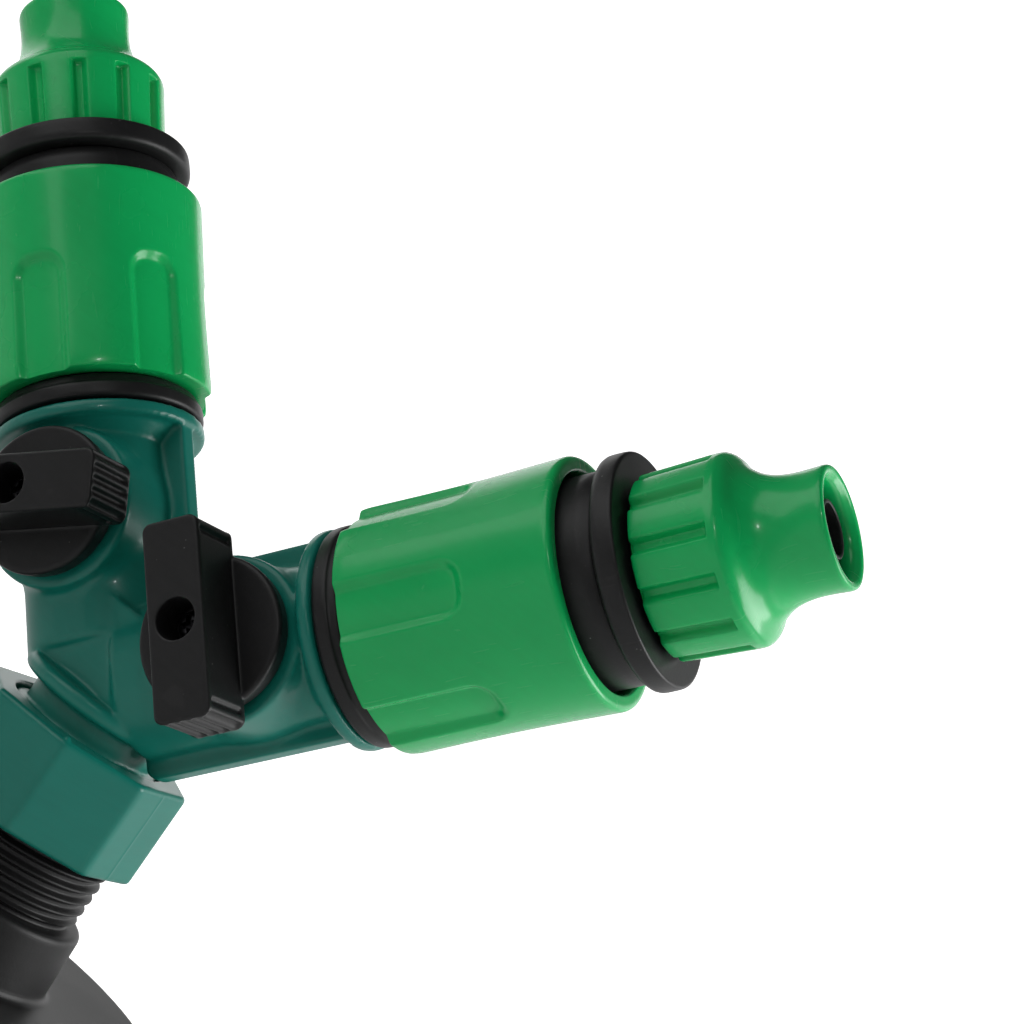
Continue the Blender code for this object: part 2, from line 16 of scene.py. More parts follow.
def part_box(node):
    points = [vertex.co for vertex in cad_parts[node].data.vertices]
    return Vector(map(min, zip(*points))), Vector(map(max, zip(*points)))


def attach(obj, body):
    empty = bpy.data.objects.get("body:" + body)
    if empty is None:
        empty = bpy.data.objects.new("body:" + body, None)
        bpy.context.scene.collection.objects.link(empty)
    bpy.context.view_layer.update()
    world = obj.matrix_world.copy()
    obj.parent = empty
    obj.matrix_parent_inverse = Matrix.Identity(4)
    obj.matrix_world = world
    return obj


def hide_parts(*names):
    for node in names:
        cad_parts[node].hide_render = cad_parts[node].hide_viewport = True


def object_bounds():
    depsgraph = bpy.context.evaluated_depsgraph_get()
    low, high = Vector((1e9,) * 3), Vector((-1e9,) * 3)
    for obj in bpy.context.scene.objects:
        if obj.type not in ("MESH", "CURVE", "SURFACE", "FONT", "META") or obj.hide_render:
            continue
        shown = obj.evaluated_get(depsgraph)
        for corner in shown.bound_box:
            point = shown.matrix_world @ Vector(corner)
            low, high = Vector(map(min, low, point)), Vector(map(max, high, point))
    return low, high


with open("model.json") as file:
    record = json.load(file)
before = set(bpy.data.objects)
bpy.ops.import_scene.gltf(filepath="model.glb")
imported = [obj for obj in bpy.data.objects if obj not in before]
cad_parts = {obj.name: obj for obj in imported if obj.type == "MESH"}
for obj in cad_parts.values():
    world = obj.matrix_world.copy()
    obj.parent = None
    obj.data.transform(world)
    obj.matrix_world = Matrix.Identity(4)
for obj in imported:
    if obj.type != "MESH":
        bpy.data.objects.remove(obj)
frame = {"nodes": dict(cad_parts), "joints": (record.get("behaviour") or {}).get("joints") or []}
CAD_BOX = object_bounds()

bl_info = {
    "name": "Tap Splitter",
    "version": (1, 0, 0),
    "blender": (4, 5, 0),
    "location": "3D View > Sidebar > Tap Splitter",
    "description": "Builds the finished pieces of a two-way garden tap splitter round its frame",
    "category": "Object",
}

MM = 0.001
SIDES = ("left", "right")
NODES = frame["nodes"]
JOINTS = {joint["name"]: joint for joint in frame["joints"]}
CENTRE = Vector(JOINTS["splitter_swivel"]["pos_m"])
FULL_TURN = 2 * math.pi
GRIP_PHASE = math.radians(35)       # where round its arm a sleeve's first recess sits
FLUTE_PHASE = math.radians(2)       # and a hose nut's first groove
NUT_TURN = math.radians(-18)        # where round its axis the swivel nut's first corner sits
HALF_ROOT = math.sqrt(0.5)          # sine and cosine of the arms' slope
PLAY = 0.3 * MM                     # gap between a plug and its socket
FAR = 5.0 * MM                      # how far a cutting shape runs on beyond what it cuts
NOZZLE_BORE_R = 6.0 * MM


# ---- sizes and colours

def length(label, text, default):
    """A size the user can change, in metres."""
    return FloatProperty(name=label, description=text, default=default, unit="LENGTH", precision=5)


def colour(label, text, default):
    """A linear colour the user can change."""
    return FloatVectorProperty(
        name=label, description=text, default=default, subtype="COLOR", size=3, min=0, max=1
    )


class SplitterSizes(bpy.types.PropertyGroup):
    """Sizes of the details that the frame leaves open."""

    flutes: IntProperty(name="Flutes", description="Grooves round a hose nut", default=12)
    flute_width: length("Flute Width", "Width of a groove in a hose nut", 2.25 * MM)
    flute_depth: length("Flute Depth", "Depth of a groove in a hose nut", 1.1 * MM)
    grips: IntProperty(name="Grips", description="Finger recesses round a sleeve", default=6)
    grip_width: length("Grip Width", "Width of a finger recess", 8.0 * MM)
    grip_depth: length("Grip Depth", "Depth of a finger recess at its far end", 0.9 * MM)
    thread_pitch: length("Thread Pitch", "Rise of the male thread in one turn", 1.81 * MM)
    thread_depth: length("Thread Depth", "Height of the male thread's ridge", 0.95 * MM)
    cap_ribs: IntProperty(name="Cap Ribs", description="Grip ribs round the cap's side", default=60)
    cap_rib_depth: length("Cap Rib Depth", "Depth of the valleys between the cap's ribs", 0.5 * MM)
    body_voxel: length("Body Fineness", "Spacing of the body's surface points", 0.34 * MM)
    knob_voxel: length("Knob Fineness", "Spacing of a knob's surface points", 0.17 * MM)
    nut_voxel: length("Nut Fineness", "Spacing of the swivel nut's surface points", 0.2 * MM)


class SplitterColours(bpy.types.PropertyGroup):
    """Colours of the mouldings and of the stage."""

    teal: colour("Teal", "Splitter body and swivel nut", (0.006, 0.165, 0.125))
    green: colour("Green", "Sleeves and hose nuts", (0.004, 0.40, 0.10))
    black: colour("Black", "Knobs, connectors and hose tails", (0.0085, 0.0085, 0.009))
    cap: colour("Cap", "Tank adapter", (0.007, 0.007, 0.0073))
    rubber: colour("Rubber", "Seals and gaskets", (0.012, 0.012, 0.012))
    seat: colour("Seats", "Valve seats", (0.72, 0.72, 0.69))
    claw: colour("Claws", "Claw rings", (0.80, 0.27, 0.02))
    ball: colour("Balls", "Valve balls", (0.55, 0.56, 0.57))
    # painted shade: screw steel kept very dark so that the deep screw wells read dark
    steel: colour("Steel", "Screws", (0.06, 0.06, 0.065))
    floor: colour("Floor", "Floor and backdrop", (0.93, 0.93, 0.93))


# ---- node maths

class Term:
    """A node's output that takes part in sums and products."""

    def __init__(self, graph, socket):
        self.graph = graph
        self.socket = socket

    def math(self, operation, *others):
        return self.graph.add("ShaderNodeMath", {"operation": operation}, dict(enumerate((self, *others))))

    def __add__(self, other):
        return self.math("ADD", other)

    def __sub__(self, other):
        return self.math("SUBTRACT", other)

    def __mul__(self, other):
        return self.math("MULTIPLY", other)

    def __truediv__(self, other):
        return self.math("DIVIDE", other)

    def __rsub__(self, other):
        return self.graph.add("ShaderNodeMath", {"operation": "SUBTRACT"}, {0: other, 1: self})

    def __abs__(self):
        return self.math("ABSOLUTE")

    def __neg__(self):
        return self * -1.0

    __radd__ = __add__
    __rmul__ = __mul__

    def least(self, other):
        return self.math("MINIMUM", other)

    def most(self, other):
        return self.math("MAXIMUM", other)

    def join(self, other, fillet):
        """Union of two distances with a fillet where they meet."""
        return self.math("SMOOTH_MIN", other, fillet)

    def ramp(self, low, high):
        """0 below low, 1 above high, smooth between."""
        return self.graph.add(
            "ShaderNodeMapRange",
            {"interpolation_type": "SMOOTHSTEP"},
            {"Value": self, "From Min": low, "From Max": high, "To Min": 0.0, "To Max": 1.0},
        )


def root(a, b):
    """Length of a two-part vector."""
    return (a * a + b * b).math("SQRT")


class Graph:
    """A node tree that is written as expressions."""

    def __init__(self, tree):
        self.tree = tree

    def add(self, kind, settings=None, inputs=None, output=0):
        """One node: its settings first, then the values or links of its sockets."""
        node = self.tree.nodes.new(kind)
        for name, value in (settings or {}).items():
            if name == "stops":
                for index, (position, tint) in enumerate(value):
                    stops = node.color_ramp.elements
                    stop = stops[index] if index < len(stops) else stops.new(position)
                    stop.position = position
                    stop.color = tint
            else:
                setattr(node, name, value)
        for key, value in (inputs or {}).items():
            socket = node.inputs[key]
            if isinstance(value, Term):
                self.tree.links.new(value.socket, socket)
            else:
                socket.default_value = value
        return Term(self, node.outputs[output])

    def parts(self, vector):
        """The three numbers of a vector."""
        split = self.add("ShaderNodeSeparateXYZ", None, {0: vector}).socket.node
        return [Term(self, socket) for socket in split.outputs]


class Recipe(Graph):
    """A Geometry Nodes tree with a named input for each size."""

    def __init__(self, name, sizes):
        super().__init__(bpy.data.node_groups.new(name, "GeometryNodeTree"))
        sockets = self.tree.interface
        sockets.new_socket("Geometry", in_out="INPUT", socket_type="NodeSocketGeometry")
        for label, value in sizes.items():
            kind = "NodeSocketInt" if isinstance(value, int) else "NodeSocketFloat"
            kind = "NodeSocketVector" if isinstance(value, Vector) else kind
            sockets.new_socket(label, in_out="INPUT", socket_type=kind)
        sockets.new_socket("Material", in_out="INPUT", socket_type="NodeSocketMaterial")
        sockets.new_socket("Geometry", in_out="OUTPUT", socket_type="NodeSocketGeometry")
        self.sizes = sizes
        self.entry = self.tree.nodes.new("NodeGroupInput")
        self.exit = self.tree.nodes.new("NodeGroupOutput")

    def size(self, label):
        return Term(self, self.entry.outputs[label])

    def close(self, geometry):
        """End the tree in Realize Instances and Set Material."""
        real = self.add("GeometryNodeRealizeInstances", None, {0: geometry})
        paint = {"Geometry": real, "Material": self.size("Material")}
        painted = self.add("GeometryNodeSetMaterial", None, paint)
        self.tree.links.new(painted.socket, self.exit.inputs[0])

    def run(self, name, material, mesh=None):
        """The tree's result on a mesh, as a new object with a plain mesh."""
        thing = bpy.data.objects.new(name, mesh or bpy.data.meshes.new(name))
        bpy.context.scene.collection.objects.link(thing)
        modifier = thing.modifiers.new("Make", "NODES")
        modifier.node_group = self.tree
        values = {**self.sizes, "Material": material}
        for item in self.tree.interface.items_tree:
            if item.in_out == "INPUT" and item.name in values:
                modifier[item.identifier] = values[item.name]
        graph = bpy.context.evaluated_depsgraph_get()
        plain = bpy.data.meshes.new_from_object(thing.evaluated_get(graph))
        thing.modifiers.remove(modifier)
        thing.data = plain
        plain.name = name
        if not plain.materials:
            plain.materials.append(material)
        return thing


def copies_round(name, count):
    """A recipe that sets copies of a sector round the Z axis and welds them."""
    weld = 0.002 * MM
    recipe = Recipe(name, {"Copies": count, "Weld": weld})
    copies = recipe.size("Copies")
    points = recipe.add("GeometryNodePoints", None, {"Count": copies})
    index = recipe.add("GeometryNodeInputIndex")
    turn = recipe.add("ShaderNodeCombineXYZ", None, {"Z": index * FULL_TURN / copies})
    placed = recipe.add(
        "GeometryNodeInstanceOnPoints",
        None,
        {"Points": points, "Instance": Term(recipe, recipe.entry.outputs[0]), "Rotation": turn},
    )
    real = recipe.add("GeometryNodeRealizeInstances", None, {0: placed})
    seam = {"Geometry": real, "Distance": recipe.size("Weld")}
    welded = recipe.add("GeometryNodeMergeByDistance", None, seam)
    recipe.close(welded)
    return recipe


def helix_ridge(name, sizes):
    """A recipe that raises a helical ridge on a turned mesh between two heights.

    A negative Depth raises it inwards."""
    crest = 0.92
    stray = 0.02 * MM
    recipe = Recipe(name, sizes)
    x, y, z = recipe.parts(recipe.add("GeometryNodeInputPosition"))
    radius = root(x, y)
    angle = y.math("ARCTAN2", x)
    phase = (z / recipe.size("Pitch") - angle / FULL_TURN).math("FRACT")
    ridge = 1.0 - abs(phase - 0.5) * 2.0
    ridge = ridge.ramp(recipe.size("Valley"), crest)
    run_in = z.ramp(recipe.size("Low"), recipe.size("Low") + recipe.size("Run"))
    run_out = 1.0 - z.ramp(recipe.size("High") - recipe.size("Run"), recipe.size("High"))
    near = 1.0 - abs(radius - recipe.size("Radius")).ramp(stray, 2.5 * stray)
    push = ridge * run_in * run_out * near * recipe.size("Depth") / radius
    shift = recipe.add("ShaderNodeCombineXYZ", None, {"X": x * push, "Y": y * push})
    blank = Term(recipe, recipe.entry.outputs[0])
    moved = recipe.add("GeometryNodeSetPosition", None, {"Geometry": blank, "Offset": shift})
    recipe.close(moved)
    return recipe


def solid_of_distance(recipe, distance, low, high, spacing):
    """Skin a distance field, in metres and negative inside, over a box, and even out its steps."""
    fewest = 8
    rounds = 2
    counts = [max(fewest, round((b - a) / spacing)) for a, b in zip(low, high)]
    volume = recipe.add(
        "GeometryNodeVolumeCube",
        None,
        {
            "Density": 1.0 - distance / MM,
            "Background": 0.0,
            "Min": low,
            "Max": high,
            "Resolution X": counts[0],
            "Resolution Y": counts[1],
            "Resolution Z": counts[2],
        },
    )
    skin = recipe.add(
        "GeometryNodeVolumeToMesh", {"resolution_mode": "GRID"}, {"Volume": volume, "Threshold": 1.0}
    )
    place = recipe.add("GeometryNodeInputPosition")
    evened = recipe.add(
        "GeometryNodeBlurAttribute", {"data_type": "FLOAT_VECTOR"}, {0: place, "Iterations": rounds}
    )
    skin = recipe.add("GeometryNodeSetPosition", None, {"Geometry": skin, "Position": evened})
    return recipe.add("GeometryNodeSetShadeSmooth", None, {0: skin})


def rounded_square(a, b, half_a, half_b, corner):
    """Distance to a rectangle with round corners."""
    far_a = abs(a) - (half_a - corner)
    far_b = abs(b) - (half_b - corner)
    return root(far_a.most(0.0), far_b.most(0.0)) + far_a.most(far_b).least(0.0) - corner


def stretch(distance, along, low, high, edge):
    """Give a flat distance a thickness between two heights, with rounded edges."""
    outside = abs(along - (low + high) / 2) - (high - low) / 2 + edge
    inside = distance + edge
    return root(outside.most(0.0), inside.most(0.0)) + outside.most(inside).least(0.0) - edge


# ---- turned meshes

def rounded(corners, segments=6, spacing=None):
    """A closed outline of (radius, height) from corners of (radius, height, round-off).

    It runs down the outside first."""
    points = [Vector(corner[:2]) for corner in corners]
    outline = []
    for index, corner in enumerate(corners):
        before = points[index - 1]
        here = points[index]
        after = points[(index + 1) % len(points)]
        if not corner[2]:
            outline.append(here)
            continue
        back = (before - here).normalized() * min(corner[2], (before - here).length * 0.49)
        on = (after - here).normalized() * min(corner[2], (after - here).length * 0.49)
        for step in range(segments + 1):
            t = step / segments
            outline.append(here + back * (1 - t) ** 2 + on * t ** 2)
    if spacing:
        fine = []
        for here, after in zip(outline, outline[1:] + outline[:1]):
            pieces = max(1, math.ceil((after - here).length / spacing))
            fine += [here.lerp(after, step / pieces) for step in range(pieces)]
        outline = fine
    return np.array([tuple(point) for point in outline])


def turned(name, outline, columns, shape=None):
    """A mesh turned about Z. Columns are angles; a full turn closes on itself, less leaves a sector open.

    shape(radius, height, angle) gives the changed radius and height."""
    whole = len(columns) > 2 and columns[-1] - columns[0] > FULL_TURN * 0.999
    angles = np.array(columns[:-1] if whole else columns)
    radius = np.repeat(outline[None, :, 0], len(angles), 0)
    height = np.repeat(outline[None, :, 1], len(angles), 0)
    angle = np.repeat(angles[:, None], len(outline), 1)
    if shape:
        radius, height = shape(radius, height, angle)
    points = np.stack([radius * np.cos(angle), radius * np.sin(angle), height], -1).reshape(-1, 3)
    rows = len(outline)
    spans = len(angles) if whole else len(angles) - 1
    i, j = np.meshgrid(np.arange(spans), np.arange(rows), indexing="ij")
    next_i = (i + 1) % len(angles)
    next_j = (j + 1) % rows
    quads = np.stack([i * rows + j, i * rows + next_j, next_i * rows + next_j, next_i * rows + j], -1)
    mesh = bpy.data.meshes.new(name)
    mesh.from_pydata(points.tolist(), [], quads.reshape(-1, 4).tolist())
    return mesh


def full_circle(count):
    return [FULL_TURN * index / count for index in range(count + 1)]


def step_up(value, low, high):
    """0 below low, 1 above high, smooth between."""
    share = np.clip((value - low) / (high - low), 0, 1)
    return share * share * (3 - 2 * share)


def smooth(mesh, angle=38):
    mesh.shade_smooth()
    mesh.set_sharp_from_angle(angle=math.radians(angle))


# ---- places

def arm_place(side):
    """Matrix from an arm's own space, Z along the arm from the splitter's centre, to the frame."""
    along = Vector(JOINTS[f"connector_{side}_spin"]["axis"]).normalized()
    depth = Vector((0, 1, 0))
    across = depth.cross(along)
    place = Matrix((across, depth, along)).transposed().to_4x4()
    place.translation = CENTRE
    return place


def reach(node, side):
    """How far along its arm a node starts and ends, and its greatest radius."""
    to_arm = arm_place(side).inverted()
    points = [to_arm @ vertex.co for vertex in NODES[node].data.vertices]
    heights = [point.z for point in points]
    return min(heights), max(heights), max(math.hypot(point.x, point.y) for point in points)


def settle(thing, body, nodes, place=None):
    """Put a finished piece in its place, on its body, in the stead of its CAD nodes."""
    if place is not None:
        thing.data.transform(place)
    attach(thing, body)
    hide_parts(*nodes)


def plain_piece(name, mesh, material, sharp=38):
    """An object of a mesh that needs no recipe."""
    thing = bpy.data.objects.new(name, mesh)
    bpy.context.scene.collection.objects.link(thing)
    mesh.materials.append(material)
    smooth(mesh, sharp)
    return thing


# ---- materials

def new_material(name):
    """An empty node material, its graph and its shader."""
    material = bpy.data.materials.new(name)
    material.use_nodes = True
    graph = Graph(material.node_tree)
    return material, graph, material.node_tree.nodes["Principled BSDF"]


def noise(graph, vector, scale, detail=3.0, roughness=0.5):
    values = {"Vector": vector, "Scale": scale, "Detail": detail, "Roughness": roughness}
    return graph.add("ShaderNodeTexNoise", None, values)


def mix_colours(graph, factor, first, second):
    """A blend of two colours."""
    return graph.add(
        "ShaderNodeMix", {"data_type": "RGBA"}, {"Factor": factor, 6: first, 7: second}, output=2
    )


def tint(rgb, gain):
    return (*[min(1.0, value * gain) for value in rgb], 1.0)


def feed(graph, shader, name, value):
    """Link or set one of the shader's sockets."""
    if isinstance(value, Term):
        graph.tree.links.new(value.socket, shader.inputs[name])
    else:
        shader.inputs[name].default_value = value


def moulded(name, rgb, rough, grain, streak, dust=0.0, coat=0.0, depth=0.0):
    """Injection-moulded plastic: cloudy colour, fine grain, flow lines, faint scratches and a little dust.

    Grain is in millimetres. Streak is how far the colour strays. Depth is how much light enters the wall."""
    material, graph, shader = new_material(name)
    place = graph.add("ShaderNodeTexCoord", None, None, output=3)
    cloud = noise(graph, place, 55.0, 4.0)
    fine = noise(graph, place, 2600.0, 2.0)
    stretched = {"Vector": place, "Scale": (40.0, 40.0, 420.0)}
    flow_space = graph.add("ShaderNodeMapping", None, stretched)
    flow = noise(graph, flow_space, 3.0, 3.0)
    slanted = {"Vector": place, "Rotation": (0.4, 0.9, 0.3), "Scale": (90.0, 1400.0, 90.0)}
    scratch_space = graph.add("ShaderNodeMapping", None, slanted)
    scratch = noise(graph, scratch_space, 2.0, 2.0).ramp(0.66, 0.72)
    speck = graph.add("ShaderNodeTexVoronoi", None, {"Vector": place, "Scale": 900.0})
    patchy = noise(graph, place, 240.0).ramp(0.55, 0.7)
    dusty = (1.0 - speck.ramp(0.06, 0.12)) * patchy * dust
    tone = cloud * 0.7 + flow * 0.3
    base = mix_colours(graph, tone.ramp(0.3, 0.7), tint(rgb, 1 - streak), tint(rgb, 1 + streak))
    pale = tuple(0.25 + 0.5 * value for value in rgb)
    base = mix_colours(graph, scratch * 0.015 + dusty, base, (*pale, 1.0))
    feed(graph, shader, "Base Color", base)
    feed(graph, shader, "Roughness", rough + (cloud - 0.5) * 0.12 + scratch * 0.04 + dusty * 0.4)
    bump = graph.add(
        "ShaderNodeBump",
        None,
        {"Strength": 1.0, "Distance": 1.0, "Height": (fine * grain + flow * 0.004 + scratch * 0.0005) * MM},
    )
    feed(graph, shader, "Normal", bump)
    feed(graph, shader, "Specular IOR Level", 0.28)
    feed(graph, shader, "Coat Weight", coat)
    feed(graph, shader, "Coat Roughness", 0.1)
    if depth:
        feed(graph, shader, "Subsurface Weight", depth)
        feed(graph, shader, "Subsurface Radius", (0.3, 1.0, 0.45))
        feed(graph, shader, "Subsurface Scale", 1.5 * MM)
    return material


def rubber(name, rgb):
    """Matt rubber with a powdery bloom."""
    material, graph, shader = new_material(name)
    place = graph.add("ShaderNodeTexCoord", None, None, output=3)
    bloom = noise(graph, place, 320.0, 5.0)
    base = mix_colours(graph, bloom.ramp(0.45, 0.8), tint(rgb, 0.8), tint(rgb, 3.0))
    feed(graph, shader, "Base Color", base)
    feed(graph, shader, "Roughness", 0.7 + bloom * 0.2)
    bump = graph.add("ShaderNodeBump", None, {"Distance": 1.0, "Height": bloom * 0.01 * MM})
    feed(graph, shader, "Normal", bump)
    return material


def metal(name, rgb, rough):
    """Turned steel with fine tool marks."""
    material, graph, shader = new_material(name)
    place = graph.add("ShaderNodeTexCoord", None, None, output=3)
    lathe = {"Vector": place, "Scale": (60.0, 2500.0, 60.0)}
    marks = noise(graph, graph.add("ShaderNodeMapping", None, lathe), 1.0)
    feed(graph, shader, "Base Color", mix_colours(graph, marks, tint(rgb, 0.85), tint(rgb, 1.15)))
    feed(graph, shader, "Metallic", 1.0)
    feed(graph, shader, "Roughness", rough + marks * 0.1)
    bump = graph.add("ShaderNodeBump", None, {"Distance": 1.0, "Height": marks * 0.002 * MM})
    feed(graph, shader, "Normal", bump)
    return material


def finishes():
    """Every finish by name, made once."""
    made = {}

    def get(name):
        if name not in made:
            rgb = bpy.context.scene.splitter_colours
            makers = {
                "teal": lambda: moulded("teal_plastic", rgb.teal, 0.32, 0.004, 0.06, coat=0.1),
                "green": lambda: moulded("green_plastic", rgb.green, 0.26, 0.002, 0.05, 0.0, 0.15, 0.05),
                "black": lambda: moulded("black_plastic", rgb.black, 0.42, 0.012, 0.2, dust=0.5),
                "cap": lambda: moulded("cap_plastic", rgb.cap, 0.46, 0.012, 0.2, dust=0.25),
                "seat": lambda: moulded("seat_plastic", rgb.seat, 0.4, 0.004, 0.04),
                "claw": lambda: moulded("claw_plastic", rgb.claw, 0.35, 0.004, 0.06),
                "ball": lambda: moulded("ball_plastic", rgb.ball, 0.15, 0.001, 0.03, coat=0.4),
                "rubber": lambda: rubber("seal_rubber", rgb.rubber),
                # the screw steel's very dark colour is painted shade of the screw wells
                "steel": lambda: metal("screw_steel", rgb.steel, 0.28),
            }
            made[name] = makers[name]()
        return made[name]

    return get


finish = finishes()


# ---- tank adapter


def make_adapter():
    """The cap, its neck with the male thread, and the gasket inside."""
    sizes = bpy.context.scene.splitter_sizes
    low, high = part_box("tank_cap")
    rim_r = high.x
    gasket_low, gasket_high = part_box("cap_gasket")
    gasket_width = 6.0 * MM
    thread_length = 17.1 * MM
    thread_r = 13.15 * MM
    top = gasket_high.z + 4.3 * MM
    top_r = rim_r - 1.3 * MM
    bore_r = rim_r - 5.3 * MM
    thread_top = high.z
    neck_top = thread_top - thread_length
    neck_r = 15.0 * MM
    root_r = thread_r - sizes.thread_depth
    neck_bore = 9.5 * MM
    corners = [
        (root_r - 0.6 * MM, thread_top, 0.3 * MM),
        (root_r, thread_top - 0.7 * MM, 0),
        (root_r, neck_top, 0.35 * MM),
        (neck_r - 0.2 * MM, neck_top, 1.1 * MM),
        (neck_r + 0.25 * MM, top, 1.3 * MM),
        (top_r, top, 1.4 * MM),
        (rim_r, low.z, 0.7 * MM),
        (bore_r, low.z, 0.6 * MM),
        (bore_r, gasket_high.z + 0.3 * MM, 0.4 * MM),
        (neck_bore, gasket_high.z + 0.3 * MM, 0.5 * MM),
        (neck_bore, thread_top, 0.3 * MM),
    ]
    ribs = sizes.cap_ribs
    rib_top = top - 3.2 * MM

    def rib(radius, height, angle):
        outside = radius > rim_r - 1.6 * MM
        fade = 1 - step_up(height, rib_top - 1.2 * MM, rib_top)
        fade = fade * step_up(height, low.z + 1.2 * MM, low.z + 2.0 * MM)
        valley = step_up(np.cos(angle * ribs), -0.35, 0.35)
        return radius - np.where(outside, sizes.cap_rib_depth * valley * fade, 0), height

    outline = rounded(corners, 6, 0.12 * MM)
    steep = np.abs(np.diff(outline[:, 1], append=outline[0, 1])) > 1e-7
    keep = steep | (np.arange(len(outline)) % 8 == 0)
    sector = turned("cap_sector", outline[keep], np.linspace(0, FULL_TURN / ribs, 7), rib)
    whole = copies_round("Cap Ribs", ribs).run("cap_ring", finish("cap"), sector)
    male = helix_ridge(
        "Male Thread",
        {
            "Pitch": sizes.thread_pitch,
            "Depth": sizes.thread_depth,
            "Radius": root_r,
            "Valley": 0.25,
            "Low": neck_top + 0.5 * MM,
            "High": thread_top - 0.8 * MM,
            "Run": 0.8 * MM,
        },
    )
    threaded = male.run("tank_adapter_moulding", finish("cap"), whole.data)
    bpy.data.objects.remove(whole)
    coarse = helix_ridge(
        "Cap Thread",
        {
            "Pitch": 6.0 * MM,
            "Depth": -1.4 * MM,
            "Radius": bore_r,
            "Valley": 0.35,
            "Low": low.z + 1.5 * MM,
            "High": gasket_low.z - 0.5 * MM,
            "Run": 2.0 * MM,
        },
    )
    cap = coarse.run("tank_cap_moulding", finish("cap"), threaded.data)
    bpy.data.objects.remove(threaded)
    smooth(cap.data, 50)
    settle(cap, "tank_adapter", ["tank_cap"])
    gasket_r = gasket_high.x
    gasket = [
        (gasket_r, gasket_high.z, 0.3 * MM),
        (gasket_r, gasket_low.z, 0.3 * MM),
        (gasket_r - gasket_width, gasket_low.z, 0.3 * MM),
        (gasket_r - gasket_width, gasket_high.z, 0.3 * MM),
    ]
    mesh = turned("gasket", rounded(gasket, 4), full_circle(120))
    ring = plain_piece("cap_flat_gasket", mesh, finish("rubber"))
    settle(ring, "tank_adapter", ["cap_gasket"])


# ---- swivel nut

def make_swivel_nut():
    """Eight flats with soft corners, a bore, a moulding line and the gate's small nib."""
    sizes = bpy.context.scene.splitter_sizes
    low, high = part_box("swivel_nut")
    corner_r = max(math.hypot(v.co.x, v.co.y) for v in NODES["swivel_nut"].data.vertices)
    flats = 8
    first = NUT_TURN + math.pi / flats
    lip = 1.8 * MM
    recipe = Recipe(
        "Swivel Nut",
        {
            "Apothem": corner_r * math.cos(math.pi / flats),
            "Bore": 13.6 * MM,
            "Lip Bore": 11.5 * MM,
            "Edge": 0.7 * MM,
            "Corner": 0.8 * MM,
        },
    )
    x, y, z = recipe.parts(recipe.add("GeometryNodeInputPosition"))
    radius = root(x, y)
    angle = y.math("ARCTAN2", x) - first
    turn = FULL_TURN / flats
    folded = (angle / turn + 0.5).math("FRACT") * turn - turn / 2
    corner = recipe.size("Corner")
    side = radius * abs(folded).math("COSINE") - recipe.size("Apothem")
    neighbour = radius * (turn - abs(folded)).math("COSINE") - recipe.size("Apothem")
    prism = side.math("SMOOTH_MAX", neighbour, corner)
    line_angle = NUT_TURN + math.radians(22)
    line_r = 14.8 * MM
    line_across = x * math.cos(line_angle) + y * math.sin(line_angle) - line_r
    line_along = y * math.cos(line_angle) - x * math.sin(line_angle)
    line = root(line_across, line_along) - 0.1 * MM
    outer = stretch(prism, z, low.z, high.z, recipe.size("Edge"))
    middle = (low.z + high.z) / 2
    line = line.most(abs(z - middle) - (high.z - low.z) / 2 + 0.6 * MM)
    outer = outer.join(line, 0.15 * MM)
    nib_angle = math.radians(-63)
    nib_r = corner_r * 0.93
    nib_spread = root(x - math.cos(nib_angle) * nib_r, y - math.sin(nib_angle) * nib_r)
    nib = root(nib_spread, z - high.z) - 0.5 * MM
    outer = outer.join(nib, 0.2 * MM)
    throat = stretch(radius - recipe.size("Lip Bore"), z, low.z - FAR, high.z + FAR, 0.0)
    bore = stretch(radius - recipe.size("Bore"), z, low.z - FAR, high.z - lip, 0.0)
    hollow = throat.least(bore)
    solid = outer.math("SMOOTH_MAX", -hollow, 0.3 * MM)
    margin = Vector((MM, MM, MM))
    skin = solid_of_distance(recipe, solid, Vector(low) - margin, Vector(high) + margin, sizes.nut_voxel)
    recipe.close(skin)
    nut = recipe.run("swivel_nut_moulding", finish("teal"))
    settle(nut, "swivel_nut", ["swivel_nut"])


# ---- splitter body

BODY_SIZES = {
    "Tube Half Width": 10.5 * MM,
    "Tube Half Depth": 10.0 * MM,
    "Tube Round": 8.5 * MM,
    "Tube Start": 5.2 * MM,
    "Fin Out": 13.0 * MM,
    "Fin In": 14.0 * MM,
    "Fin Half": 1.5 * MM,
    "Boss": 11.2 * MM,
    "Core": 11.9 * MM,
    "Core Half Depth": 9.0 * MM,
    "Bead": 12.4 * MM,
    "Neck": 9.6 * MM,
    "Spigot": 11.1 * MM,
    "Flange": 13.1 * MM,
    "Inlet Bore": 6.0 * MM,
    "Fillet": 2.4 * MM,
    "Small Fillet": 0.5 * MM,
}


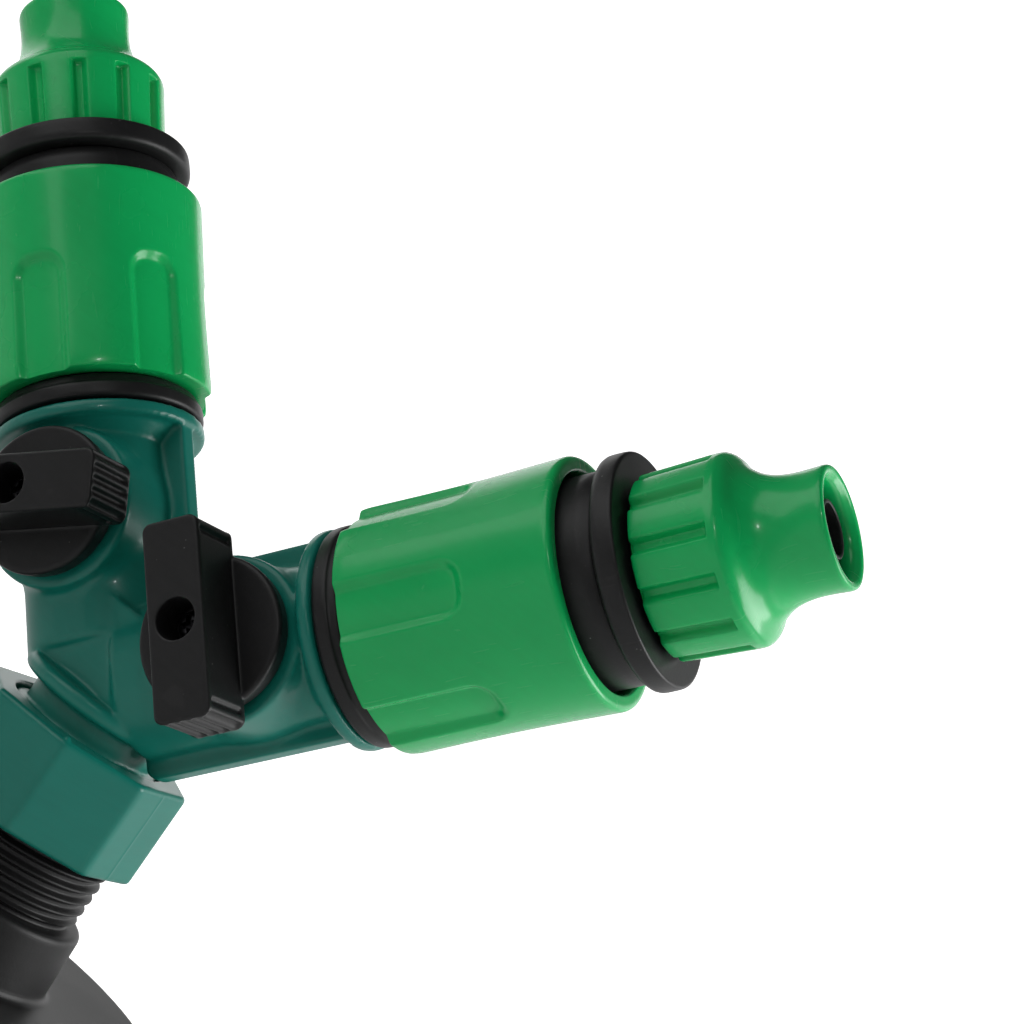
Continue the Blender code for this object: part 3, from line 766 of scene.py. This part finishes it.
def arm_field(recipe, turn_x, y, z, collar_end, collar_r, valve_s, outer_fin):
    """Distance to one arm: tube, fin, collar with its flare, and valve boss."""
    size = recipe.size
    along = (turn_x + z) * HALF_ROOT
    across = (turn_x - z) * HALF_ROOT
    tube = rounded_square(across, y, size("Tube Half Width"), size("Tube Half Depth"), size("Tube Round"))
    tube = stretch(tube, along, size("Tube Start"), collar_end - 1.5 * MM, 1.0 * MM)
    inner = (-across - size("Fin In")).most(across).most(abs(y) - size("Fin Half"))
    outer = (across - size("Fin Out")).most(-across).most(abs(y) - size("Fin Half"))
    inner = stretch(inner, along, 5.0 * MM, collar_end - 0.8 * MM, 0.4 * MM)
    outer = stretch(outer, along, outer_fin, collar_end - 0.8 * MM, 0.4 * MM)
    fin = inner.least(outer)
    spread = root(across, y)
    collar = stretch(spread - collar_r, along, collar_end - 2.0 * MM, collar_end, 0.5 * MM)
    flare_r = 10.2 * MM + (along - (collar_end - 4.6 * MM)).most(0.0) * 1.05
    flare = stretch(spread - flare_r, along, collar_end - 4.6 * MM, collar_end - 1.0 * MM, 0.1 * MM)
    boss = root(along - valve_s, across) - size("Boss")
    boss = stretch(boss, -y, 0.0, 12.0 * MM, 0.6 * MM)
    arm = tube.join(boss, size("Fillet")).join(fin, size("Small Fillet"))
    return arm.join(flare, 0.2 * MM).join(collar, 0.4 * MM)


def make_body():
    """Both arms and the inlet with fillets between them, bored from below."""
    sizes = bpy.context.scene.splitter_sizes
    low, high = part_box("splitter_body")
    recipe = Recipe("Splitter Body", BODY_SIZES)
    x, y, z = recipe.parts(recipe.add("GeometryNodeInputPosition"))
    z = z - CENTRE.z
    foot = low.z - CENTRE.z
    plug_low, _, plug_r = reach("outlet_nipple_right", "right")
    collar_end = 37.1 * MM
    collar_r = max(-low.y, high.y)
    pivot = Vector(JOINTS["valve_right_turn"]["pos_m"]) - CENTRE
    valve_s = pivot.length
    right = arm_field(recipe, x, y, z, collar_end, collar_r, valve_s, 5.0 * MM)
    left = arm_field(recipe, -x, y, z, collar_end, collar_r, valve_s, 19.0 * MM)
    arms = right.join(left, 0.8 * MM)
    spread = root(x, y)
    core = spread - recipe.size("Core")
    core = core.math("SMOOTH_MAX", abs(y) - recipe.size("Core Half Depth"), 0.6 * MM)
    core = stretch(core, z, 0.0, 12.0 * MM, 0.4 * MM)
    arms = arms.join(core, 0.5 * MM)
    arms = arms.math("SMOOTH_MAX", -4.9 * MM - z, 0.4 * MM)
    ring = stretch(spread - recipe.size("Bead"), z, -2.6 * MM, -0.1 * MM, 1.0 * MM)
    neck = stretch(spread - recipe.size("Neck"), z, foot, 0.0, 0.2 * MM)
    spigot = stretch(spread - recipe.size("Spigot"), z, foot, -6.2 * MM, 0.2 * MM)
    flange = stretch(spread - recipe.size("Flange"), z, foot, foot + 2.0 * MM, 0.3 * MM)
    solid = arms.join(ring, 0.3 * MM).join(neck, 0.8 * MM).join(spigot, 0.4 * MM).join(flange, 0.2 * MM)
    bore = stretch(spread - recipe.size("Inlet Bore"), z, foot - FAR, 4.0 * MM, 1.0 * MM)
    for turn_x in (x, -x):
        along = (turn_x + z) * HALF_ROOT
        across = (turn_x - z) * HALF_ROOT
        spread = root(across, y) - (plug_r + PLAY)
        bore = bore.least(stretch(spread, along, plug_low - PLAY, collar_end + FAR, 0.0))
    solid = solid.math("SMOOTH_MAX", -bore, 0.3 * MM)
    margin = Vector((MM, MM, MM))
    skin = solid_of_distance(recipe, solid, Vector(low) - margin, Vector(high) + margin, sizes.body_voxel)
    recipe.close(skin)
    body = recipe.run("splitter_moulding", finish("teal"))
    settle(body, "splitter", ["splitter_body"])


# ---- valves

def make_knob_field(recipe, x, y, z, base, face, top):
    """Distance to a knob about Z: disc, bar, end ridges, screw well."""
    size = recipe.size
    taper = (face - z) * 0.16
    disc = stretch(root(x, y) - size("Disc") + taper, z, base, face, 0.7 * MM)
    bar_ends = abs((y / size("Ridge Pitch")).math("FRACT") - 0.5) * 2.0
    ridge = bar_ends.ramp(0.25, 0.75) * size("Ridge Depth")
    ridge = ridge * z.ramp(face - 1.0 * MM, face + 0.5 * MM) * (1.0 - z.ramp(top - 0.9 * MM, top - 0.3 * MM))
    ridge = ridge * abs(x).ramp(size("Half Length") - 1.6 * MM, size("Half Length") - 0.6 * MM)
    bar = rounded_square(x, y, size("Half Length"), size("Half Width"), 1.3 * MM) + ridge
    bar = stretch(bar, z, face - 1.0 * MM, top, 0.45 * MM)
    side_groove = root(abs(x) - size("Half Length") + 2.0 * MM, abs(y) - size("Half Width"))
    side_groove = side_groove - 0.42 * MM
    side_groove = side_groove.most(face + 0.2 * MM - z).most(z - top + 0.8 * MM)
    bar = bar.math("SMOOTH_MAX", -side_groove, 0.2 * MM)
    knob = disc.join(bar, 0.35 * MM)
    well = stretch(root(x, y) - size("Well"), z, face + 2.8 * MM, top + 4 * MM, 0.2 * MM)
    return knob.math("SMOOTH_MAX", -well, 0.35 * MM)


def make_valves():
    """A knob and its screw for each arm."""
    sizes = bpy.context.scene.splitter_sizes
    low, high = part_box("valve_knob_right")
    base = -high.y
    top = -low.y
    disc_height = 3.4 * MM
    face = base + disc_height
    recipe = Recipe(
        "Valve Knob",
        {
            "Disc": 10.3 * MM,
            "Half Length": 13.1 * MM,
            "Half Width": 4.0 * MM,
            "Ridge Pitch": 1.6 * MM,
            "Ridge Depth": 0.5 * MM,
            "Well": 2.7 * MM,
        },
    )
    x, y, z = recipe.parts(recipe.add("GeometryNodeInputPosition"))
    solid = make_knob_field(recipe, x, y, z, base, face, top)
    corner = Vector((14.5 * MM, 11.4 * MM, MM))
    skin = solid_of_distance(
        recipe, solid, Vector((0, 0, base)) - corner, Vector((0, 0, top)) + corner, sizes.knob_voxel
    )
    recipe.close(skin)
    for side in SIDES:
        pivot = Vector(JOINTS[f"valve_{side}_turn"]["pos_m"])
        place = arm_place(side)
        place.translation = pivot
        rest_turn = -math.radians(JOINTS[f"valve_{side}_turn"]["range_deg"][0])
        place = place @ Matrix.Rotation(rest_turn, 4, "Y") @ Matrix.Rotation(math.radians(90), 4, "X")
        knob = recipe.run(f"valve_knob_moulding_{side}", finish("black"))
        settle(knob, f"valve_{side}", [f"valve_knob_{side}"], place)
        make_screw(side, place)


def make_screw(side, place):
    """A pan head with a cross recess and its shank."""
    low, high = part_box(f"knob_screw_{side}")
    top = -low.y
    tip = -high.y
    corners = [
        (0.02 * MM, top, 0),
        (1.3 * MM, top - 0.1 * MM, 0.3 * MM),
        (2.0 * MM, top - 0.8 * MM, 0.4 * MM),
        (2.0 * MM, top - 1.7 * MM, 0.15 * MM),
        (1.2 * MM, top - 1.7 * MM, 0),
        (1.2 * MM, tip + 0.8 * MM, 0),
        (0.02 * MM, tip, 0),
    ]

    def cross(radius, height, angle):
        across = np.minimum(np.abs(radius * np.sin(angle)), np.abs(radius * np.cos(angle)))
        inside = (1 - step_up(across, 0.28 * MM, 0.4 * MM)) * (1 - step_up(radius, 1.1 * MM, 1.3 * MM))
        return radius, height - np.where(height > top - 0.5 * MM, 0.9 * MM * inside, 0)

    outline = rounded(corners, 4, 0.09 * MM)
    shaft = outline[:, 1] < top - 1.8 * MM
    outline = outline[~shaft | (np.arange(len(outline)) % 6 == 0)]
    mesh = turned("screw", outline[:-1] if len(outline) % 2 else outline, full_circle(72), cross)
    screw = plain_piece(f"knob_screw_turned_{side}", mesh, finish("steel"))
    settle(screw, f"valve_{side}", [f"knob_screw_{side}"], place)


# ---- connectors

def make_connectors():
    """The black connector body and the hose tail on each arm."""
    for side in SIDES:
        low, high, ring_r = reach(f"connector_body_{side}", side)
        body_r = 13.6 * MM
        slide_r = 12.55 * MM
        socket_r = 9.0 * MM
        claw_r = 11.6 * MM
        plug_r = 8.2 * MM
        corners = [
            (body_r - 0.5 * MM, high, 0.3 * MM),
            (body_r, high - 1.6 * MM, 0.5 * MM),
            (body_r, high - 14.9 * MM, 0.2 * MM),
            (slide_r, high - 14.9 * MM, 0),
            (slide_r, low + 3.5 * MM, 0.2 * MM),
            (ring_r - 0.7 * MM, low + 3.5 * MM, 0.5 * MM),
            (ring_r - 0.35 * MM, low + 2.3 * MM, 0.4 * MM),
            (ring_r, low + 2.0 * MM, 0.5 * MM),
            (ring_r, low, 0.7 * MM),
            (socket_r, low, 0.5 * MM),
            (socket_r, low + 3.9 * MM, 0),
            (claw_r, low + 3.9 * MM, 0),
            (claw_r, low + 8.3 * MM, 0),
            (socket_r, low + 8.3 * MM, 0),
            (plug_r, low + 11.2 * MM, 0),
            (plug_r, low + 18.6 * MM, 0),
            (4.5 * MM, low + 18.6 * MM, 0),
            (4.5 * MM, low + 22.6 * MM, 0),
            (socket_r, low + 24.6 * MM, 0),
            (socket_r, high, 0.2 * MM),
        ]
        mesh = turned("connector", rounded(corners, 5), full_circle(144))
        body = plain_piece(f"connector_moulding_{side}", mesh, finish("black"))
        settle(body, f"connector_{side}", [f"connector_body_{side}"], arm_place(side))
        make_tail(side)


def make_tail(side):
    """Flange, tail thread and barbed tip."""
    low, high, flange_r = reach(f"hose_tail_{side}", side)
    start = high - 26.0 * MM
    end = start + 3.2 * MM
    tip_r = 4.1 * MM
    barb_step = 3.2 * MM
    thread_r = 9.4 * MM
    bore_r = 3.25 * MM
    corners = [
        (bore_r, high, 0.2 * MM),
        (tip_r - 0.35 * MM, high, 0.2 * MM),
        (tip_r, high - 1.4 * MM, 0.2 * MM),
    ]
    for ridge in range(3):
        foot = high - 3.9 * MM - barb_step * ridge
        corners.append((tip_r, foot + 0.4 * MM, 0.1 * MM))
        corners.append((tip_r - 0.5 * MM, foot, 0.1 * MM))
    corners += [
        (tip_r - 0.5 * MM, high - 13.6 * MM, 0.3 * MM),
        (thread_r, high - 13.6 * MM, 0.4 * MM),
        (thread_r, end, 0.5 * MM),
        (flange_r - 0.1 * MM, end, 0.35 * MM),
        (flange_r, end - 0.7 * MM, 0.5 * MM),
        (flange_r, start, 1.1 * MM),
        (8.7 * MM, start, 0),
        (8.7 * MM, low, 0.2 * MM),
        (2.6 * MM, low, 0.2 * MM),
        (bore_r, high - 6.0 * MM, 0.5 * MM),
    ]
    mesh = turned("hose_tail", rounded(corners, 5, 0.25 * MM), full_circle(144))
    recipe = helix_ridge(
        f"Tail Thread {side}",
        {
            "Pitch": 2.0 * MM,
            "Depth": 0.75 * MM,
            "Radius": thread_r,
            "Valley": 0.3,
            "Low": end + 0.8 * MM,
            "High": high - 14.2 * MM,
            "Run": 0.8 * MM,
        },
    )
    tail = recipe.run(f"hose_tail_moulding_{side}", finish("black"), mesh)
    smooth(tail.data)
    settle(tail, f"connector_{side}", [f"hose_tail_{side}"], arm_place(side))


# ---- sleeves

def make_sleeves():
    """The release sleeve on each arm, a sector with one finger recess set round six times."""
    sizes = bpy.context.scene.splitter_sizes
    low, high, rim_r = reach("release_sleeve_right", "right")
    waist_r = rim_r - 0.5 * MM
    grip_r = rim_r - 0.35 * MM
    mouth_r = 14.9 * MM
    grip_end = low + 17.3 * MM
    inner_r = 13.95 * MM
    slide_r = 12.7 * MM
    corners = [
        (inner_r + 0.2 * MM, high, 0.5 * MM),
        (rim_r - 0.05 * MM, high, 0.95 * MM),
        (waist_r, (low + high) / 2, 9 * MM),
        (grip_r, low + 1.0 * MM, 0.8 * MM),
        (grip_r - 0.15 * MM, low, 0.3 * MM),
        (slide_r, low, 0.4 * MM),
        (slide_r, low + 8.8 * MM, 0),
        (inner_r, low + 10.3 * MM, 0.3 * MM),
    ]
    half = math.pi / sizes.grips
    wall = sizes.grip_width / 2 / rim_r
    columns = GRIP_PHASE + np.unique(np.concatenate([
        np.linspace(-half, -wall * 1.25, 7),
        np.linspace(-wall * 1.25, -wall * 0.6, 14),
        np.linspace(-wall * 0.6, wall * 0.6, 11),
        np.linspace(wall * 0.6, wall * 1.25, 14),
        np.linspace(wall * 1.25, half, 7),
    ]).round(9))

    def recess(radius, height, angle):
        """Cut a shallow pad with round corners at its far end."""
        corner = 3.2 * MM
        across = np.abs(angle - GRIP_PHASE) * rim_r - (sizes.grip_width / 2 - corner)
        along = height - (grip_end - corner)
        edge = np.hypot(np.maximum(across, 0), np.maximum(along, 0)) - corner
        edge = edge + np.minimum(np.maximum(across, along), 0)
        inside = 1 - step_up(edge, -1.2 * MM, 0.25 * MM)
        rise = np.clip((height - low) / (grip_end - low), 0, 1) ** 0.8
        floor = mouth_r + (radius - sizes.grip_depth - mouth_r) * rise
        outer = radius > mouth_r - 0.2 * MM
        return np.where(outer, radius - np.maximum(radius - floor, 0) * inside, radius), height

    outline = rounded(corners, 7, 0.32 * MM)
    inner = outline[:, 0] < mouth_r - 0.5 * MM
    outline = outline[~inner | (np.arange(len(outline)) % 5 == 0)]
    sector = turned("sleeve_sector", outline, columns, recess)
    recipe = copies_round("Sleeve Grips", sizes.grips)
    for side in SIDES:
        sleeve = recipe.run(f"release_sleeve_moulding_{side}", finish("green"), sector.copy())
        smooth(sleeve.data, 60)
        settle(sleeve, f"sleeve_{side}", [f"release_sleeve_{side}"], arm_place(side))


# ---- hose nuts

def make_hose_nuts():
    """The clamping nut on each arm, a sector with one flute set round twelve times."""
    sizes = bpy.context.scene.splitter_sizes
    low, high, ridge_r = reach("hose_nut_right", "right")
    flute_end = low + 10.1 * MM
    start_r = ridge_r - 0.45 * MM
    bore_r = NOZZLE_BORE_R
    hollow_r = 10.5 * MM
    corners = [
        (bore_r + 0.9 * MM, high, 0.4 * MM),
        (7.9 * MM, high, 0.95 * MM),
        (7.62 * MM, high - 4.9 * MM, 3.6 * MM),
        (8.3 * MM, high - 8.2 * MM, 1.6 * MM),
        (9.9 * MM, high - 10.4 * MM, 1.0 * MM),
        (11.6 * MM, flute_end + 1.9 * MM, 0.9 * MM),
        (ridge_r - 0.05 * MM, flute_end + 0.95 * MM, 0.35 * MM),
        (ridge_r, flute_end, 0.25 * MM),
        (start_r, low, 0.5 * MM),
        (hollow_r, low, 0.3 * MM),
        (hollow_r, low + 9.4 * MM, 0),
        (bore_r, low + 12.5 * MM, 0.5 * MM),
        (bore_r, high - 1.1 * MM, 0.5 * MM),
    ]
    half = math.pi / sizes.flutes
    wall = sizes.flute_width / 2 / ridge_r
    columns = FLUTE_PHASE + np.unique(np.concatenate([
        np.linspace(-half, -wall * 1.15, 6),
        np.linspace(-wall * 1.15, -wall * 0.3, 9),
        np.linspace(-wall * 0.3, wall * 0.3, 3),
        np.linspace(wall * 0.3, wall * 1.15, 9),
        np.linspace(wall * 1.15, half, 6),
    ]).round(9))

    def flute(radius, height, angle):
        across = np.abs(angle - FLUTE_PHASE) * ridge_r
        inside = 1 - step_up(across, sizes.flute_width / 2 - 0.75 * MM, sizes.flute_width / 2 + 0.15 * MM)
        inside = inside * (1 - step_up(height, flute_end - 0.35 * MM, flute_end))
        outer = radius > start_r - 0.8 * MM
        return np.where(outer, radius - sizes.flute_depth * inside, radius), height

    outline = rounded(corners, 8, 0.3 * MM)
    inner = outline[:, 0] < bore_r + 0.3 * MM
    outline = outline[~inner | (np.arange(len(outline)) % 4 == 0)]
    sector = turned("nut_sector", outline, columns, flute)
    recipe = copies_round("Nut Flutes", sizes.flutes)
    for side in SIDES:
        nut = recipe.run(f"hose_nut_moulding_{side}", finish("green"), sector.copy())
        smooth(nut.data, 60)
        settle(nut, f"hose_nut_{side}", [f"hose_nut_{side}"], arm_place(side))


# ---- inner pieces

INNER_FINISHES = {
    "inlet_washer": "rubber",
    "outlet_nipple": "teal",
    "nipple_o_ring": "rubber",
    "ball_seat_outer": "seat",
    "ball_seat_inner": "seat",
    "valve_ball": "ball",
    "valve_stem": "black",
    "stem_o_ring": "rubber",
    "claw_ring": "claw",
}


def paint_inner_pieces():
    """Give each piece that stays as it is in the frame its own finish."""
    for name, node in NODES.items():
        for start, kind in INNER_FINISHES.items():
            if name.startswith(start):
                node.data.materials.clear()
                node.data.materials.append(finish(kind))


# ---- stage

LIGHT_DISTANCE = 0.6
LIGHTS = {                       # direction in the camera's space, size and power
    "key": (Vector((-0.35, 1.0, 0.35)), 0.5, 1.2),
    "right_side": (Vector((1.0, -0.35, 0.0)), 0.4, 3.5),
    "left_side": (Vector((-1.0, -0.1, -0.1)), 0.5, 0.4),
    "spark": (Vector((0.1, 0.6, 1.0)), 0.03, 0.25),
}
WORLD_STRENGTH = 0.06
# painted light: the floor's own glow, full to the camera and dim everywhere for other rays
FLOOR_GLOW = 0.9
FLOOR_BASE_GLOW = 0.08
VIEW = {
    "azimuth": math.radians(28.85),
    "rise": math.radians(1.25),
    "roll": math.radians(34.76),
    "distance": 0.380,
    "lens": 100.41,
}
AIM = Vector((0.02557, 0.01502, 0.05033))        # from the splitter's centre to the middle of the view


def make_stage():
    """Floor that curves up far away, soft lights and the camera."""
    make_floor()
    make_light()
    make_camera()


def make_floor():
    flat_r = 1.6
    rise = 1.2
    steps = 24
    sides = 96
    outline = [(0.001, 0.0)]
    outline += [(flat_r * step / 8, 0.0) for step in range(1, 9)]
    for step in range(1, steps + 1):
        angle = math.pi / 2 * step / steps
        outline.append((flat_r + rise * math.sin(angle), rise * (1 - math.cos(angle))))
    level = CAD_BOX[0].z
    columns = full_circle(sides)[:-1]
    points = [(r * math.cos(a), r * math.sin(a), z + level) for a in columns for r, z in outline]
    rows = len(outline)
    faces = []
    for i in range(sides):
        after = (i + 1) % sides
        for j in range(rows - 1):
            faces.append((i * rows + j, i * rows + j + 1, after * rows + j + 1, after * rows + j))
    mesh = bpy.data.meshes.new("floor")
    mesh.from_pydata(points, [], faces)
    floor = bpy.data.objects.new("floor", mesh)
    bpy.context.scene.collection.objects.link(floor)
    material, graph, shader = new_material("floor_white")
    rgb = bpy.context.scene.splitter_colours.floor
    feed(graph, shader, "Base Color", (*rgb, 1.0))
    feed(graph, shader, "Roughness", 0.9)
    feed(graph, shader, "Specular IOR Level", 0.0)
    # Painted light: the floor glows. Camera rays see it glow fully, so it reads pure white; other rays see a
    # dim glow everywhere and a strong glow on the part behind the object, which lights the object like a
    # lamp.
    feed(graph, shader, "Emission Color", (1.0, 1.0, 1.0, 1.0))
    seen = graph.add("ShaderNodeLightPath")
    place = graph.parts(graph.add("ShaderNodeTexCoord", None, None, output=3))
    ahead = place[1] * math.cos(VIEW["azimuth"]) - place[0] * math.sin(VIEW["azimuth"])
    glow_behind = ahead.ramp(0.0, 1.2)
    feed(graph, shader, "Emission Strength", seen.most(glow_behind) * FLOOR_GLOW + FLOOR_BASE_GLOW)
    mesh.materials.append(material)
    mesh.shade_smooth()


def area_light(name, direction, size, power):
    """A square soft light that shines on the middle of the view."""
    data = bpy.data.lights.new(name, "AREA")
    data.size = size
    data.energy = power
    light = bpy.data.objects.new(name, data)
    bpy.context.scene.collection.objects.link(light)
    away = Vector(direction).normalized()
    light.location = CENTRE + AIM + away * LIGHT_DISTANCE
    light.rotation_mode = "QUATERNION"
    light.rotation_quaternion = away.to_track_quat("Z", "Y")


def view_turn():
    """The camera's turn: X right, Y up and Z towards the viewer."""
    azimuth = VIEW["azimuth"]
    rise = VIEW["rise"]
    back = Vector((math.sin(azimuth) * math.cos(rise), -math.cos(azimuth) * math.cos(rise), math.sin(rise)))
    return back.to_track_quat("Z", "Y") @ Matrix.Rotation(VIEW["roll"], 4, "Z").to_quaternion()


def make_light():
    world = bpy.data.worlds.new("tent")
    world.use_nodes = True
    background = world.node_tree.nodes["Background"]
    background.inputs["Color"].default_value = (1.0, 1.0, 1.0, 1.0)
    background.inputs["Strength"].default_value = WORLD_STRENGTH
    bpy.context.scene.world = world
    bpy.context.scene.view_settings.view_transform = "Standard"
    turn = view_turn()
    for name, (direction, size, power) in LIGHTS.items():
        area_light(name, turn @ direction, size, power)


def make_camera():
    data = bpy.data.cameras.new("camera")
    data.lens = VIEW["lens"]
    data.sensor_width = 36.0
    data.clip_start = 0.01
    camera = bpy.data.objects.new("camera", data)
    bpy.context.scene.collection.objects.link(camera)
    turn = view_turn()
    camera.location = CENTRE + AIM + turn @ Vector((0, 0, VIEW["distance"]))
    camera.rotation_mode = "QUATERNION"
    camera.rotation_quaternion = turn
    bpy.context.scene.camera = camera


# ---- add-on

class SPLITTER_OT_stage(bpy.types.Operator):
    """Make the floor, the lights and the camera"""

    bl_idname = "splitter.stage"
    bl_label = "Stage"

    def execute(self, context):
        make_stage()
        return {"FINISHED"}


class SPLITTER_OT_adapter(bpy.types.Operator):
    """Make the tank adapter and its gasket"""

    bl_idname = "splitter.adapter"
    bl_label = "Tank Adapter"

    def execute(self, context):
        make_adapter()
        return {"FINISHED"}


class SPLITTER_OT_swivel_nut(bpy.types.Operator):
    """Make the eight-sided swivel nut"""

    bl_idname = "splitter.swivel_nut"
    bl_label = "Swivel Nut"

    def execute(self, context):
        make_swivel_nut()
        return {"FINISHED"}


class SPLITTER_OT_body(bpy.types.Operator):
    """Make the splitter's body"""

    bl_idname = "splitter.body"
    bl_label = "Splitter Body"

    def execute(self, context):
        make_body()
        return {"FINISHED"}


class SPLITTER_OT_valves(bpy.types.Operator):
    """Make the valve knobs and their screws"""

    bl_idname = "splitter.valves"
    bl_label = "Valve Knobs"

    def execute(self, context):
        make_valves()
        return {"FINISHED"}


class SPLITTER_OT_connectors(bpy.types.Operator):
    """Make the connector bodies and hose tails"""

    bl_idname = "splitter.connectors"
    bl_label = "Connectors"

    def execute(self, context):
        make_connectors()
        return {"FINISHED"}


class SPLITTER_OT_sleeves(bpy.types.Operator):
    """Make the release sleeves"""

    bl_idname = "splitter.sleeves"
    bl_label = "Release Sleeves"

    def execute(self, context):
        make_sleeves()
        return {"FINISHED"}


class SPLITTER_OT_hose_nuts(bpy.types.Operator):
    """Make the hose nuts"""

    bl_idname = "splitter.hose_nuts"
    bl_label = "Hose Nuts"

    def execute(self, context):
        make_hose_nuts()
        return {"FINISHED"}


class SPLITTER_OT_inner_pieces(bpy.types.Operator):
    """Paint the pieces inside the valves and connectors"""

    bl_idname = "splitter.inner_pieces"
    bl_label = "Inner Pieces"

    def execute(self, context):
        paint_inner_pieces()
        return {"FINISHED"}


OPERATORS = (
    SPLITTER_OT_stage,
    SPLITTER_OT_adapter,
    SPLITTER_OT_swivel_nut,
    SPLITTER_OT_body,
    SPLITTER_OT_valves,
    SPLITTER_OT_connectors,
    SPLITTER_OT_sleeves,
    SPLITTER_OT_hose_nuts,
    SPLITTER_OT_inner_pieces,
)


class SPLITTER_PT_panel(bpy.types.Panel):
    """The splitter's pieces and sizes"""

    bl_idname = "SPLITTER_PT_panel"
    bl_label = "Tap Splitter"
    bl_space_type = "VIEW_3D"
    bl_region_type = "UI"
    bl_category = "Tap Splitter"

    def draw(self, context):
        for operator in OPERATORS:
            self.layout.operator(operator.bl_idname)
        for group in (context.scene.splitter_sizes, context.scene.splitter_colours):
            column = self.layout.column()
            for name in group.bl_rna.properties.keys():
                if name not in ("rna_type", "name"):
                    column.prop(group, name)


CLASSES = (SplitterSizes, SplitterColours, *OPERATORS, SPLITTER_PT_panel)


def register():
    for item in CLASSES:
        bpy.utils.register_class(item)
    bpy.types.Scene.splitter_sizes = PointerProperty(type=SplitterSizes)
    bpy.types.Scene.splitter_colours = PointerProperty(type=SplitterColours)


def unregister():
    del bpy.types.Scene.splitter_colours
    del bpy.types.Scene.splitter_sizes
    for item in reversed(CLASSES):
        bpy.utils.unregister_class(item)


def main():
    register()
    for operator in OPERATORS:
        group, name = operator.bl_idname.split(".")
        getattr(getattr(bpy.ops, group), name)()


if __name__ == "__main__":
    main()
